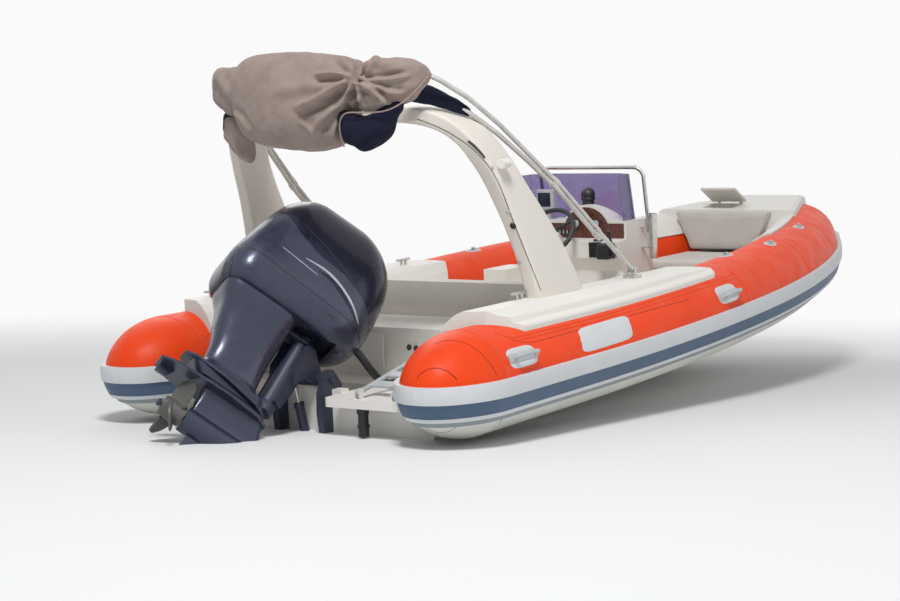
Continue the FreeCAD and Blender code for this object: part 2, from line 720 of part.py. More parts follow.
def hatch_knuckles(fixed):
    """Hinge knuckles along the hatch's port edge: the outer ones are fixed, the middle ones turn."""
    x, y = HATCH_PIN
    z0, z1 = HATCH_Z
    out = []
    for low in (z0 + 25.0, z1 - 61.0):
        if fixed:
            for a in (low, low + 25.0):
                knuckle = Part.makeCylinder(HATCH_KNUCKLE_R, 11.0, V(x, y, a))
                out.append(knuckle.fuse(box(x - 5, x + 3, y, BULKHEAD_Y + 26, a, a + 11.0)))
            out.append(Part.makeCylinder(2.5, 36.0, V(x, y, low)))
        else:
            knuckle = Part.makeCylinder(HATCH_KNUCKLE_R, 13.0, V(x, y, low + 11.5))
            leaf = box(x, HATCH_X[0] + 6, y - 3, y + 3, low + 11.5, low + 24.5)
            out.append(join([knuckle, leaf]).cut(Part.makeCylinder(2.5 + PIN_FIT, 40.0, V(x, y, low))))
    return out


def make_hatch():
    x0, x1 = HATCH_X
    z0, z1 = HATCH_Z
    y1 = BULKHEAD_Y - 4.0
    door = post(x0, x1, y1 - HATCH_THICK, y1, z0, z1, 2.0)
    corners = [e for e in door.Edges if abs(e.Vertexes[0].Y - e.Vertexes[-1].Y) > HATCH_THICK * 0.6]
    door = door.makeFillet(16.0, corners) if len(corners) == 4 else door
    write("bulkhead_hatch", join([door] + hatch_knuckles(False)))


def side_deck_profile():
    """Closed profile of the side deck about the tube's axis: the moulded steps above, the tube's arc beneath."""
    r = TUBE_R + SKIN_GAP
    outer_u = DECK_PROFILE[0][0]
    inner_u = DECK_PROFILE[-1][0]
    v_out = math.sqrt(r * r - outer_u ** 2)
    v_in = math.sqrt(r * r - inner_u ** 2)
    pts = [(outer_u, v_out)] + list(DECK_PROFILE) + [(inner_u, v_in)]
    edges = []
    for a, b in zip(pts[:-1], pts[1:]):
        edges.append(Part.LineSegment(section_point(*a), section_point(*b)).toShape())
    a_in = math.degrees(math.atan2(v_in, inner_u))
    a_out = math.degrees(math.atan2(v_out, outer_u))
    edges.append(arc_edge(r, a_in, a_out))
    return Part.Face(Part.Wire(edges))


def make_side_decks():
    pieces = join(sweep(side_deck_profile(), PATH[:3]))
    aft = Part.Face(polygon([V(x, y, 0) for x, y in DECK_AFT_EDGE] + [V(600, -900, 0), V(1300, -900, 0),
                                                                      V(1300, 330, 0)]))
    a, m, b = [V(x, y, 0) for x, y in DECK_FRONT_ARC]
    far = [V(1400, b.y, 0), V(1400, 3400, 0), V(500, 3400, 0), V(500, a.y, 0)]
    outline = [Part.Arc(a, m, b).toShape()]
    corners = [b] + far + [a]
    for p, q in zip(corners[:-1], corners[1:]):
        outline.append(Part.LineSegment(p, q).toShape())
    front = Part.Face(Part.Wire(outline))
    level = prism(DECK_LEVEL + ((2600.0, 1400.0), (-400.0, 1400.0)), 500.0, 1400.0)
    deck = largest(pieces.cut([aft.extrude(V(0, 0, 1400)), front.extrude(V(0, 0, 1400)), level]))
    write("side_deck_starboard", deck)
    write("side_deck_port", mirror(deck))
    return deck


def arch_section(c, t, chord, thick):
    """Eight-cornered section across the arch at c, along tangent t."""
    fore = (V(0, 1, 0) - t * t.y).normalize()
    side = t.cross(fore).normalize()
    k = min(22.0, thick * 0.28)
    pts = []
    for a, b in ((1, -1), (1, 1), (-1, 1), (-1, -1)):
        fa, sb = a * chord / 2.0, b * thick / 2.0
        first = c + fore * fa + side * (sb - b * k)
        second = c + fore * (fa - a * k) + side * sb
        pts += [second, first] if a * b < 0 else [first, second]
    return polygon(pts)


def make_arch(deck):
    centres = [V(*row[:3]) for row in ARCH_TABLE]
    wires = []
    for i, row in enumerate(ARCH_TABLE):
        if i == 0:
            t = V(0, 0, 1)
        elif i == len(ARCH_TABLE) - 1:
            t = V(-1, 0, 0)
        else:
            t = (centres[i + 1] - centres[i - 1]).normalize()
        wires.append(arch_section(centres[i], t, row[3], row[4]))
    half = largest(Part.makeLoft(wires, True, True).cut(deck))
    write("arch", half.fuse(mirror(half)))
    # navigation lamp on a short arm, lens forward
    x, y, z = 864.0, 392.0, 1318.0
    body = Part.makeCylinder(25.0, 52.0, V(x, y - 30, z), V(0, 1, 0))
    lens = Part.makeCylinder(21.0, 14.0, V(x, y + 22, z), V(0, 1, 0))
    arm = rod((x, y, z), (x - 90, y, z), 9.0)
    lamp = join([body, lens, arm]).cut(half)
    write("arch_lamp", largest(lamp))


def loft_table(table, inset=0.0, across="z"):
    """Smooth body through rounded rectangles: z, front y, rear y, half width, front and rear corner radius."""
    wires = []
    for z, front, rear, half_w, rf, rr in table:
        w = half_w - inset
        y1, y0 = front - inset, rear + inset
        rf = max(5.0, min(rf - inset, w - 1.0))
        rr = max(5.0, min(rr - inset, w - 1.0))
        kf = rf * (1.0 - math.sqrt(0.5))
        kr = rr * (1.0 - math.sqrt(0.5))
        corners = [
            ((w, y1 - rf), (w - kf, y1 - kf), (w - rf, y1)),
            ((-w + rf, y1), (-w + kf, y1 - kf), (-w, y1 - rf)),
            ((-w, y0 + rr), (-w + kr, y0 + kr), (-w + rr, y0)),
            ((w - rr, y0), (w - kr, y0 + kr), (w, y0 + rr)),
        ]
        edges = []
        for i, c in enumerate(corners):
            a, m, b = [V(x, y, z) for x, y in c]
            n = V(corners[(i + 1) % 4][0][0], corners[(i + 1) % 4][0][1], z)
            edges.append(Part.Arc(a, m, b).toShape())
            edges.append(Part.LineSegment(b, n).toShape())
        wires.append(Part.Wire(edges))
    return Part.makeLoft(wires, True, False)


def boot_section(x, cy, cz, half_y, half_z, r):
    """Rounded rectangle across the boat at x."""
    k = r * (1.0 - math.sqrt(0.5))
    w, h = half_y, half_z
    corners = [
        ((w, h - r), (w - k, h - k), (w - r, h)),
        ((-w + r, h), (-w + k, h - k), (-w, h - r)),
        ((-w, -h + r), (-w + k, -h + k), (-w + r, -h)),
        ((w - r, -h), (w - k, -h + k), (w, -h + r)),
    ]
    edges = []
    for i, c in enumerate(corners):
        a, m, b = [V(x, cy + y, cz + z) for y, z in c]
        n = corners[(i + 1) % 4][0]
        edges.append(Part.Arc(a, m, b).toShape())
        edges.append(Part.LineSegment(b, V(x, cy + n[0], cz + n[1])).toShape())
    return Part.Wire(edges)


def make_canopy(deck):
    px, py, pz = CANOPY_PIVOT
    main = bent_rod(CANOPY_BOW, CANOPY_TUBE_R, CANOPY_BEND_R)
    second = bent_rod(CANOPY_SECOND_BOW, CANOPY_TUBE_R, CANOPY_BEND_R)
    clamps = []
    for k, reach in ((0, 0.10), (1, 0.0)):
        a, b = V(*CANOPY_BOW[k + 1]), V(*CANOPY_SECOND_BOW[k])
        d = (V(*CANOPY_BOW[k + 2]) - a).normalize()
        for p in (a, b):
            q = p + d * 40.0
            clamps.append(rod((q.x - d.x * 22, q.y - d.y * 22, q.z - d.z * 22),
                              (q.x + d.x * 22, q.y + d.y * 22, q.z + d.z * 22), CANOPY_TUBE_R + 4.0))
    eye = Part.makeCylinder(CANOPY_EYE_R, CANOPY_EYE_W, V(px - CANOPY_EYE_W / 2.0, py, pz), V(1, 0, 0))
    bore = Part.makeCylinder(CANOPY_PIN_R + PIN_FIT, 80.0, V(px - 40, py, pz), V(1, 0, 0))
    bows = join([main, second, eye] + clamps).cut(bore)
    write("canopy_frame", both(bows))
    # deck feet: a plate with two ears and a pin
    foot = [box(px - 36, px + 36, py - 42, py + 42, pz - 60, pz - CANOPY_EYE_R - 14.0)]
    for side in (-1, 1):
        a, b = sorted((px + side * (CANOPY_EYE_W / 2.0 + JOINT_GAP), px + side * (CANOPY_EYE_W / 2.0 + JOINT_GAP + 5)))
        foot.append(box(a, b, py - 13, py + 13, pz - 40, pz + 13))
    foot.append(Part.makeCylinder(CANOPY_PIN_R, 50.0, V(px - 25, py, pz), V(1, 0, 0)))
    write("canopy_feet", both(largest(join(foot).cut(deck))))
    # the boot is lofted across the boat and hollowed where the arch's top would pass
    boot = Part.makeLoft([boot_section(*row) for row in BOOT_TABLE], True, False)
    swing = Part.makeCylinder(BOOT_INNER_R, 3000.0, V(-1500, py, pz), V(1, 0, 0))
    grown = [bent_rod(p, CANOPY_TUBE_R + SKIN_GAP, CANOPY_BEND_R) for p in (CANOPY_BOW, CANOPY_SECOND_BOW)]
    boot = boot.cut([swing] + grown + [mirror(g) for g in grown])
    write("canopy_boot", largest(boot))


def arch_face(cx, cz, r, y):
    return Part.Face(Part.Wire(Part.makeCircle(r, V(cx, y, cz), V(0, 1, 0))))


def make_console():
    x0, x1 = CONSOLE_X
    body = prism(CONSOLE_PROFILE, x0, x1)
    hood = Part.makeCylinder(HOOD_R, HOOD_Y[1] - HOOD_Y[0], V(HOOD_X, HOOD_Y[0], HOOD_Z), V(0, 1, 0))
    hood = hood.common(box(x0, x1, HOOD_Y[0], HOOD_Y[1], HOOD_Z, HOOD_Z + HOOD_R + 1))
    nose = prism(((HOOD_Y[0] + 60, HOOD_Z + HOOD_R + 2), (HOOD_Y[1] + 1, HOOD_Z + HOOD_R + 2),
                  (HOOD_Y[1] + 1, CONSOLE_PROFILE[5][1] + 8)), x0, x1)
    body = body.makeFillet(CONSOLE_EDGE_R, [e for e in body.Edges if abs(e.Vertexes[0].X - e.Vertexes[-1].X) < 1
                                            and abs(e.Vertexes[0].Z - e.Vertexes[-1].Z) > 150
                                            and min(e.Vertexes[0].Z, e.Vertexes[-1].Z) < 500])
    cx, cy, cz = WHEEL_CENTRE
    lean = math.radians(90.0 - WHEEL_RAKE_DEG)
    ax = V(0, math.sin(lean), -math.cos(lean))
    c = V(cx, cy, cz)
    boss = Part.makeCylinder(34.0, 90.0, c + ax * 62.0, ax)
    bore = Part.makeCylinder(WHEEL_SHAFT_R + PIN_FIT, 110.0, c + ax * 60.0, ax)
    pod = post(x0 - 150, x0 + 5, 2200, 2500, FLOOR_Z + SKIN_GAP, 570, 1.0)
    console = join([body, hood.cut(nose), boss, box(x0 - 150, x0 + 5, 2200, 2500, FLOOR_Z + SKIN_GAP, 570),
                    box(x0, x0 + 5, 2200, 2500, FLOOR_Z + SKIN_GAP, 570)])
    console = console.cut(bore)
    # rod holder's bracket on the starboard side
    rx, ry, rz0, rz1 = ROD_HOLDER
    write("console", console)
    tube = Part.makeCylinder(ROD_HOLDER_R, rz1 - rz0, V(rx, ry, rz0))
    tube = tube.cut(Part.makeCylinder(ROD_HOLDER_R - 2.5, rz1 - rz0, V(rx, ry, rz0 + 4)))
    arms = [box(x1 + SKIN_GAP, rx - ROD_HOLDER_R + 1.2, ry - 14, ry + 14, z, z + 8) for z in (rz0 + 60, rz1 - 90)]
    write("rod_holder", join([tube] + arms))
    # dash panel in front of the hood, with its instruments
    y = HOOD_Y[0] - SKIN_GAP
    face = Part.makeCylinder(HOOD_R - DASH_INSET, DASH_THICK, V(HOOD_X, y - DASH_THICK, HOOD_Z), V(0, 1, 0))
    face = face.common(box(x0, x1, y - 10, y, HOOD_Z, HOOD_Z + HOOD_R))
    low = box(-130, x1 - DASH_INSET, y - DASH_THICK, y, 753, 841)
    panel = [join([face, low])]
    for gx, gz in GAUGES:
        panel.append(Part.makeCylinder(GAUGE_R, 12.0, V(gx, y - DASH_THICK - 6, gz), V(0, 1, 0)))
    write("dash_panel", join(panel))
    # compass on the hood, plotter housing on the port shoulder
    top = V(128, 2505, HOOD_Z + HOOD_R - 16)
    bowl = join([Part.makeCylinder(36.0, 40.0, top), Part.makeSphere(43.0, top + V(0, 0, 72))])
    write("compass", largest(bowl.cut(console)))
    shoulder = CONSOLE_PROFILE[5][1] + SKIN_GAP
    case = rounded_box(-232, -108, 2485, 2535, 908, 1040, 9)
    stand = box(-195, -145, 2500, 2520, shoulder, 915)
    write("plotter", join([case, stand]))
    # helm controls: keypad panel and throttle box on the console's aft face
    y = CONSOLE_PROFILE[2][0] - SKIN_GAP
    pad = box(228, 306, y - 11, y, 645, 734)
    keys = [box(234 + 24 * i, 254 + 24 * i, y - 15, y - 10, 652 + 20 * j, 666 + 20 * j) for i in range(3) for j in range(4)]
    throttle = rounded_box(322, 404, y - 92, y, 641, 732, 9)
    hub = Part.makeCylinder(30.0, 20.0, V(403, y - 46, 690), V(1, 0, 0))
    lever = rod((413, y - 46, 690), (413, y - 92, 800), 8.0)
    knob = Part.makeSphere(16.0, V(413, y - 92, 806))
    write("helm_controls", Part.makeCompound([join([pad] + keys), join([throttle, hub, lever, knob])]))
    make_wheel(c, ax)
    make_screen()


def make_wheel(c, ax):
    rim = Part.makeTorus(WHEEL_R - WHEEL_RIM_R, WHEEL_RIM_R, V(0, 0, 0), V(0, 0, 1))
    hub = Part.makeCylinder(34.0, 30.0, V(0, 0, -18))
    reach = WHEEL_R - WHEEL_RIM_R
    spokes = []
    for a in (math.radians(-90), math.radians(30), math.radians(150)):
        spokes.append(rod((0, 0, 0), (reach * math.cos(a), reach * math.sin(a), 0), 8.0))
    shaft = Part.makeCylinder(WHEEL_SHAFT_R, 150.0, V(0, 0, -150))
    wheel = join([rim, hub, shaft] + spokes)
    wheel.rotate(V(0, 0, 0), V(1, 0, 0), 90.0 - WHEEL_RAKE_DEG)
    wheel.translate(c)
    write("steering_wheel", wheel)


def make_screen():
    z0 = CONSOLE_PROFILE[5][1] + SKIN_GAP
    lift = (SCREEN_TOP_Z - z0)

    def wire(z, back, shrink):
        outer = [V(x, y - back, z) for x, y in SCREEN_PLAN]
        cx = (SCREEN_PLAN[0][0] + SCREEN_PLAN[-1][0]) / 2.0
        inner = []
        for x, y in reversed(SCREEN_PLAN):
            k = SCREEN_THICK / abs(x - cx)
            inner.append(V(x + (cx - x) * k, y - back - (SCREEN_THICK if y > SCREEN_PLAN[0][1] + 10 else 0), z))
        return polygon(outer + inner)

    screen = Part.makeLoft([wire(z0, 0, 0), wire(z0 + lift, SCREEN_RAKE, 0)], True, True)
    write("windscreen", screen)
    left, right = CONSOLE_X[0] + 26, CONSOLE_X[1] + RAIL_R + 4.0
    rail = bent_rod([(left, 2672, z0), (left, 2614, RAIL_TOP_Z), (right, 2614, RAIL_TOP_Z), (right, 2682, 770.0)],
                    RAIL_R, 62.0)
    foot = rod((right, 2681, 778.0), (CONSOLE_X[1] + SKIN_GAP, 2681, 778.0), 10.0)
    write("windscreen_rail", join([rail.cut(box(-400, 0, 2500, 2800, 0, z0)), foot]))


def tilt(shape):
    """From the swivel bracket's upright frame to the boat."""
    s = shape.copy()
    s.rotate(V(0, 0, 0), V(1, 0, 0), -ENGINE_TILT_DEG)
    s.translate(V(0, ENGINE_Y, ENGINE_Z))
    return s


def steer(shape):
    """From the engine's upright frame to the boat."""
    s = shape.copy()
    s.rotate(V(0, 0, 0), V(0, 0, 1), -ENGINE_STEER_DEG)
    return tilt(s)


def tilt_axis_in_boat():
    y, z = TILT_AXIS
    p = V(0, y, z)
    a = math.radians(-ENGINE_TILT_DEG)
    return V(0, ENGINE_Y + p.y * math.cos(a) - p.z * math.sin(a), ENGINE_Z + p.y * math.sin(a) + p.z * math.cos(a))


def plate(table, thick):
    """Flat plate through stations of (y, half width, top z), as ruled prisms."""
    wires = []
    for y, w, z in table:
        wires.append(polygon([V(-w, y, z), V(w, y, z), V(w - 4, y, z - thick), V(-w + 4, y, z - thick)]))
    return Part.makeLoft(wires, True, True)


def make_cowling():
    outer = loft_table(COWL_TABLE)
    (ya, za), (yb, zb) = SEAM
    above = prism(((ya, za + SEAM_GAP), (yb, zb + SEAM_GAP), (yb, 900), (ya, 900)), -400, 400)
    below = prism(((ya, za), (yb, zb), (yb, -400), (ya, -400)), -400, 400)
    top = outer.common(above)
    rows = [(r[0] - (0.0 if i == 0 else COWL_WALL),) + r[1:] for i, r in enumerate(COWL_TABLE)]
    inner = loft_table(rows, COWL_WALL)
    shell = top.cut(inner)
    cap_tool = prism(CAP_EDGE + ((700.0, -60.0), (700.0, 900.0), (-700.0, 900.0)), -400, 400)
    write("cowl_cap", steer(shell.common(cap_tool)))
    write("cowl_side", steer(shell.cut(cap_tool)))
    pan = outer.common(below)
    pan = pan.cut(box(-150, 150, -84, 130, -200, -60))
    write("cowl_lower", steer(pan))
    seat = [(y, za + (zb - za) * (y - ya) / (yb - ya) + SKIN_GAP) for y in (-360.0, 40.0)]
    write("powerhead_block", steer(prism((seat[0], seat[1], (40.0, 420.0), (-360.0, 420.0)), -150, 150)))
    return [steer(shell), steer(pan)]


def make_leg():
    body = loft_table(LEG_TABLE)
    bore = Part.makeCylinder(KING_PIN_R + PIN_FIT, 700.0, V(0, 0, -650))
    # upper and lower mounts round the king pin; the upper one reaches into the pan's recess
    upper = join([box(-52, 52, -130, 0, -168, -142.6), box(-52, 52, -83, 0, -150, -104),
                  Part.makeCylinder(52.0, 64.0, V(0, 0, -168))])
    lower = box(-52, 52, -150, 0, -606, -566).fuse(Part.makeCylinder(52.0, 40.0, V(0, 0, -606)))
    casting_room = Part.makeCylinder(54.0, 397.0, V(0, 0, -565.5))
    leg = largest(join([body, upper, lower]).cut([bore, casting_room]))
    write("midsection", steer(leg))
    return leg


def make_gearcase(leg):
    splash = plate(SPLASH_PLATE, PLATE_THICK)
    cav = plate(CAVITATION_PLATE, PLATE_THICK)
    strut = loft_table(STRUT_TABLE)
    torpedo = Part.makeCylinder(TORPEDO_R, 400.0, V(0, -310, PROP_Z), V(0, 1, 0))
    nose_arc = Part.Arc(V(TORPEDO_R, 90, PROP_Z), V(TORPEDO_R * 0.64, 185, PROP_Z), V(0, 232, PROP_Z)).toShape()
    nose_wire = Part.Wire([nose_arc, Part.LineSegment(V(0, 232, PROP_Z), V(0, 90, PROP_Z)).toShape(),
                           Part.LineSegment(V(0, 90, PROP_Z), V(TORPEDO_R, 90, PROP_Z)).toShape()])
    nose = Part.Face(nose_wire).revolve(V(0, 0, PROP_Z), V(0, 1, 0), 360.0)
    skeg = prism(((60, PROP_Z), (-250, PROP_Z), (-268, PROP_Z - SKEG_DROP), (-140, PROP_Z - SKEG_DROP)), -6, 6)
    neck = loft_table(((-584.0, -30.0, -432.0, 90.0, 40.0, 50.0), (-640.0, -10.0, -380.0, 70.0, 40.0, 40.0)))
    seat = box(-300, 300, -700, 300, LEG_TABLE[-1][0] - SKIN_GAP, 0)
    shaft = Part.makeCylinder(SHAFT_R, 168.0, V(0, PROP_HUB_Y - 86, PROP_Z), V(0, 1, 0))
    nut = Part.makeCylinder(19.0, 16.0, V(0, PROP_HUB_Y - 86, PROP_Z), V(0, 1, 0))
    trim_tab = prism(((-465, -684), (-540, -684), (-552, -735), (-490, -735)), -9, 9)
    pocket = Part.makeCylinder(KING_PIN_R + 5.0, 40.0, V(0, 0, -620))
    gearcase = join([splash, cav, strut, torpedo, nose, skeg, neck.cut(seat), shaft, nut, trim_tab])
    gearcase = largest(gearcase.cut([leg, pocket]))
    write("gearcase", steer(gearcase))


def make_propeller():
    hub = Part.makeCylinder(52.0, 118.0, V(0, PROP_HUB_Y - 62, PROP_Z), V(0, 1, 0))
    blades = []
    for i in range(3):
        blade = box(-66, 66, -4.5, 4.5, 30, PROP_R)
        tips = [e for e in blade.Edges if abs(e.Vertexes[0].Z - PROP_R) < 1 and abs(e.Vertexes[-1].Z - PROP_R) < 1
                and e.Length < 12]
        blade = blade.makeFillet(58.0, tips)
        blade.rotate(V(0, 0, 0), V(0, 0, 1), 34.0)
        blade.rotate(V(0, 0, 0), V(0, 1, 0), 120.0 * i + 12.0)
        blade.translate(V(0, PROP_HUB_Y, PROP_Z))
        blades.append(blade)
    bore = Part.makeCylinder(SHAFT_R + PIN_FIT, 400.0, V(0, PROP_HUB_Y - 200, PROP_Z), V(0, 1, 0))
    write("propeller", steer(join([hub] + blades).cut(bore)))


def make_brackets():
    ty, tz = TILT_AXIS
    reach = CLAMP_X[1] + 14.0
    tube = Part.makeCylinder(TILT_TUBE_R, 2 * reach, V(-reach, ty, tz), V(1, 0, 0))
    inner = CLAMP_X[0] - JOINT_GAP
    barrel = Part.makeCylinder(34.0, 2 * inner, V(-inner, ty, tz), V(1, 0, 0))
    arms = []
    for side in (-1, 1):
        a, b = sorted((side * 62.0, side * 84.0))
        arms.append(prism(((ty + 30, tz + 14), (20, -166), (-34, -190), (-34, -330), (20, -400), (62, -322),
                           (ty + 12, tz - 22)), a, b))
    web = prism(((60, -215), (-20, -215), (-20, -545), (36, -545), (52, -420)), -64, 64)
    casting = Part.makeCylinder(46.0, 380.0, V(0, 0, -555))
    king = Part.makeCylinder(KING_PIN_R, 495.0, V(0, 0, -603))
    lug_y, lug_z = ram_eye_local()
    lug = [box(a, a + 10, 20, lug_y + 12, lug_z - 14, lug_z + 14) for a in (-24.0, 14.0)]
    web = web.cut([box(-14, 14, 46, 200, lug_z - 90, lug_z + 60), box(-36, 36, 46, 200, -560, lug_z - 16)])
    pin = Part.makeCylinder(6.0, 48.0, V(-24, lug_y, lug_z), V(1, 0, 0))
    write("swivel_bracket", tilt(join([tube, barrel, web, casting, king, pin] + arms + lug)))
    make_clamp()


def ram_eye_local():
    """The ram's upper pin in the swivel bracket's frame."""
    y, z = RAM_EYE
    a = math.radians(ENGINE_TILT_DEG)
    dy, dz = y - ENGINE_Y, z - ENGINE_Z
    return dy * math.cos(a) - dz * math.sin(a), dy * math.sin(a) + dz * math.cos(a)


def make_clamp():
    c = tilt_axis_in_boat()
    t0 = TRANSOM_Y - SKIN_GAP
    t1 = TRANSOM_Y + TRANSOM_THICK + SKIN_GAP
    top = TRANSOM_TOP_Z + SKIN_GAP
    aft = c.y - CLAMP_R - 34
    outline = ((t0, CLAMP_FOOT_Z), (t0, top), (t1, top), (t1, top - 90), (t1 + 24, top - 90), (t1 + 24, top + 18),
               (c.y + CLAMP_R, c.z + 14), (c.y + 20, c.z + CLAMP_R), (c.y - 20, c.z + CLAMP_R), (c.y - CLAMP_R, c.z + 16),
               (aft, c.z - 60), (aft - 6, 120.0), (aft + 8, 20.0), (t0 - 44, CLAMP_FOOT_Z))
    plates = []
    for side in (-1, 1):
        a, b = sorted((side * CLAMP_X[0], side * CLAMP_X[1]))
        slab_solid = prism(outline, a, b)
        rounded = [e for e in slab_solid.Edges if abs(e.Vertexes[0].X - e.Vertexes[-1].X) > 20
                   and e.Vertexes[0].Y < c.y + 30 and e.Vertexes[0].Y < t0 - 20]
        plates.append(slab_solid.makeFillet(16.0, rounded))
    bar_y, bar_z = RAM_BASE
    bar = Part.makeCylinder(10.0, 2 * CLAMP_X[0] + 4, V(-CLAMP_X[0] - 2, bar_y - 0, bar_z), V(1, 0, 0))
    bore = Part.makeCylinder(TILT_TUBE_R + PIN_FIT, 500.0, V(-250, c.y, c.z), V(1, 0, 0))
    write("clamp_bracket", join(plates + [bar]).cut(bore))
    make_ram(bar_y, bar_z)


def make_ram(bar_y, bar_z):
    """Tilt cylinder on its lower pin, and its rod with an eye round the swivel bracket's pin."""
    base = V(0, bar_y, bar_z)
    eye = V(0, *RAM_EYE)
    d = (eye - base).normalize()
    hub = Part.makeCylinder(18.0, 40.0, V(-20, bar_y, bar_z), V(1, 0, 0))
    barrel = Part.makeCylinder(RAM_R, 166.0, base + d * 14.0, d)
    gland = Part.makeCylinder(RAM_R + 4, 14.0, base + d * 166.0, d)
    bore = Part.makeCylinder(RAM_ROD_R + PIN_FIT, 200.0, base + d * 26.0, d)
    pin_hole = Part.makeCylinder(10.0 + PIN_FIT, 60.0, V(-30, bar_y, bar_z), V(1, 0, 0))
    write("tilt_cylinder", join([hub, barrel, gland]).cut([bore, pin_hole]))
    length = (eye - base).Length
    stem = Part.makeCylinder(RAM_ROD_R, length - 130.0 - RAM_RING_R + 4.0, base + d * 130.0, d)
    ring = Part.makeCylinder(RAM_RING_R, 20.0, V(-10, eye.y, eye.z), V(1, 0, 0))
    hole = Part.makeCylinder(RAM_RING_R - 6.0, 60.0, V(-30, eye.y, eye.z), V(1, 0, 0))
    write("tilt_rod", join([stem, ring]).cut(hole))


def make_hose(cowling):
    """The hose ends face to face on the cowling."""
    write("rigging_hose", largest(hose("rigging hose", HOSE_ROUTE, HOSE_R).cut(cowling)))


def bow_deck_top(y):
    rows = BOW_DECK_TABLE
    for (ya, wa, za), (yb, wb, zb) in zip(rows[:-1], rows[1:]):
        if y <= yb:
            return za + (zb - za) * (y - ya) / (yb - ya)
    return rows[-1][2]


def make_bow(hull):
    # covers along the inner side of both tubes
    r0 = TUBE_R + SKIN_GAP
    r1 = r0 + BOW_COVER_THICK
    a0, a1 = BOW_COVER_ANGLES
    inner, outer = arc_edge(r0, a0, a1), arc_edge(r1, a0, a1)
    i = [inner.Vertexes[0].Point, inner.Vertexes[-1].Point]
    o = [outer.Vertexes[0].Point, outer.Vertexes[-1].Point]
    face = Part.Face(Part.Wire([outer, Part.LineSegment(o[1], i[1]).toShape(), inner,
                                Part.LineSegment(i[0], o[0]).toShape()]))
    cover = join(sweep(face, PATH[:7], 3)).cut(box(0, 1400, 0, BOW_COVER_Y, 0, 1200))
    wires = []
    for y, w, z in BOW_DECK_TABLE:
        wires.append(polygon([V(-w - 60, y, BOW_DECK_BASE_Z), V(w + 60, y, BOW_DECK_BASE_Z), V(w, y, z - 14),
                              V(w - 26, y, z), V(-w + 26, y, z), V(-w, y, z - 14)]))
    deck = Part.makeLoft(wires, True, True)
    deck = largest(deck.cut(COLLAR))
    # recess and well under the lid
    lx0, lx1 = LID_X
    ly0, ly1 = LID_Y
    z = bow_deck_top((ly0 + ly1) / 2.0)
    well = box(lx0 + 14, lx1 - 14, ly0 + 14, ly1 - 30, z - 150, z + 60)
    hinge_y, hinge_z = ly1 - 10.0, bow_deck_top(ly1) + 7.0
    ears = []
    for x in (lx0 + 40.0, lx1 - 60.0):
        ears.append(box(x, x + 6, hinge_y - 6, hinge_y + 6, hinge_z - 14, hinge_z + 5))
        ears.append(box(x + 14, x + 20, hinge_y - 6, hinge_y + 6, hinge_z - 14, hinge_z + 5))
        ears.append(rod((x, hinge_y, hinge_z), (x + 20, hinge_y, hinge_z), 2.5))
    deck = deck.cut(well)
    write("bow_deck", join([deck, cover, mirror(cover)] + ears))
    lid = rounded_box(lx0, lx1, ly0, ly1 - 26, 0, LID_THICK, 5)
    lid.translate(V(0, 0, hinge_z - 6.0))
    tongues = []
    bores = []
    for x in (lx0 + 40.0, lx1 - 60.0):
        tongue = box(x + 7, x + 13, ly1 - 34, hinge_y, hinge_z - 5, hinge_z + 5)
        tongues.append(tongue.fuse(Part.makeCylinder(5.0, 6.0, V(x + 7, hinge_y, hinge_z), V(1, 0, 0))))
        bores.append(Part.makeCylinder(2.5 + PIN_FIT, 40.0, V(x - 10, hinge_y, hinge_z), V(1, 0, 0)))
    lid = join([lid] + tongues).cut(bores)
    lid.rotate(V(0, hinge_y, hinge_z), V(1, 0, 0), -LID_OPEN_DEG)
    write("locker_lid", lid)
    # trapezium backrest leaning on the deck's aft face, over a seat box with its cushion
    y0, y1 = BACKREST_Y
    z0, z1 = BACKREST_Z
    w0, w1 = BACKREST_HALF_W
    outline = Part.Face(polygon([V(-w0, y0, z0), V(w0, y0, z0), V(w1, y0, z1), V(-w1, y0, z1)]))
    pad = outline.extrude(V(0, y1 - y0, 0))
    wire = Part.Wire([Part.makeCircle(r1 + SKIN_GAP, section_point(0, 0), V(0, 1, 0))])
    covered = sweep(Part.Face(wire), PATH[:7], 3)
    pad = largest(pad.cut(covered + [mirror(s) for s in covered]))
    write("bow_backrest", pad)
    s0, s1 = BOW_SEAT_Y
    seat = box(-BOW_SEAT_HALF_W, BOW_SEAT_HALF_W, s0, y1 + 4, 150, BOW_SEAT_Z)
    write("bow_seat", largest(seat.cut(COLLAR + [hull])))
    cushion = rounded_box(-BOW_SEAT_HALF_W + 50, BOW_SEAT_HALF_W - 50, s0, s1, BOW_SEAT_Z + SKIN_GAP,
                          BOW_SEAT_Z + BOW_CUSHION, 20)
    write("bow_cushion", largest(cushion.cut(COLLAR)))


def deck_level(y):
    for (ya, za), (yb, zb) in zip(DECK_LEVEL[:-1], DECK_LEVEL[1:]):
        if y <= yb:
            return za + (zb - za) * (y - ya) / (yb - ya)
    return DECK_LEVEL[-1][1]


def make_cleats(deck):
    """Deck cleats: two feet and a bar with drawn-out horns."""
    cleats = []
    for x, y in ((868.0, 480.0), (-868.0, 150.0), (-900.0, 1985.0)):
        z = deck_level(y)
        side = deck if x > 0 else mirror(deck)
        feet = [Part.makeCylinder(9.0, 44.0, V(x, y + s * 22.0, z - 14)) for s in (-1, 1)]
        bar = rod((x, y - 66, z + 34), (x, y + 66, z + 34), 8.0)
        cleats.append(largest(join(feet + [bar]).cut(side)))
    write("deck_cleats", Part.makeCompound(cleats))


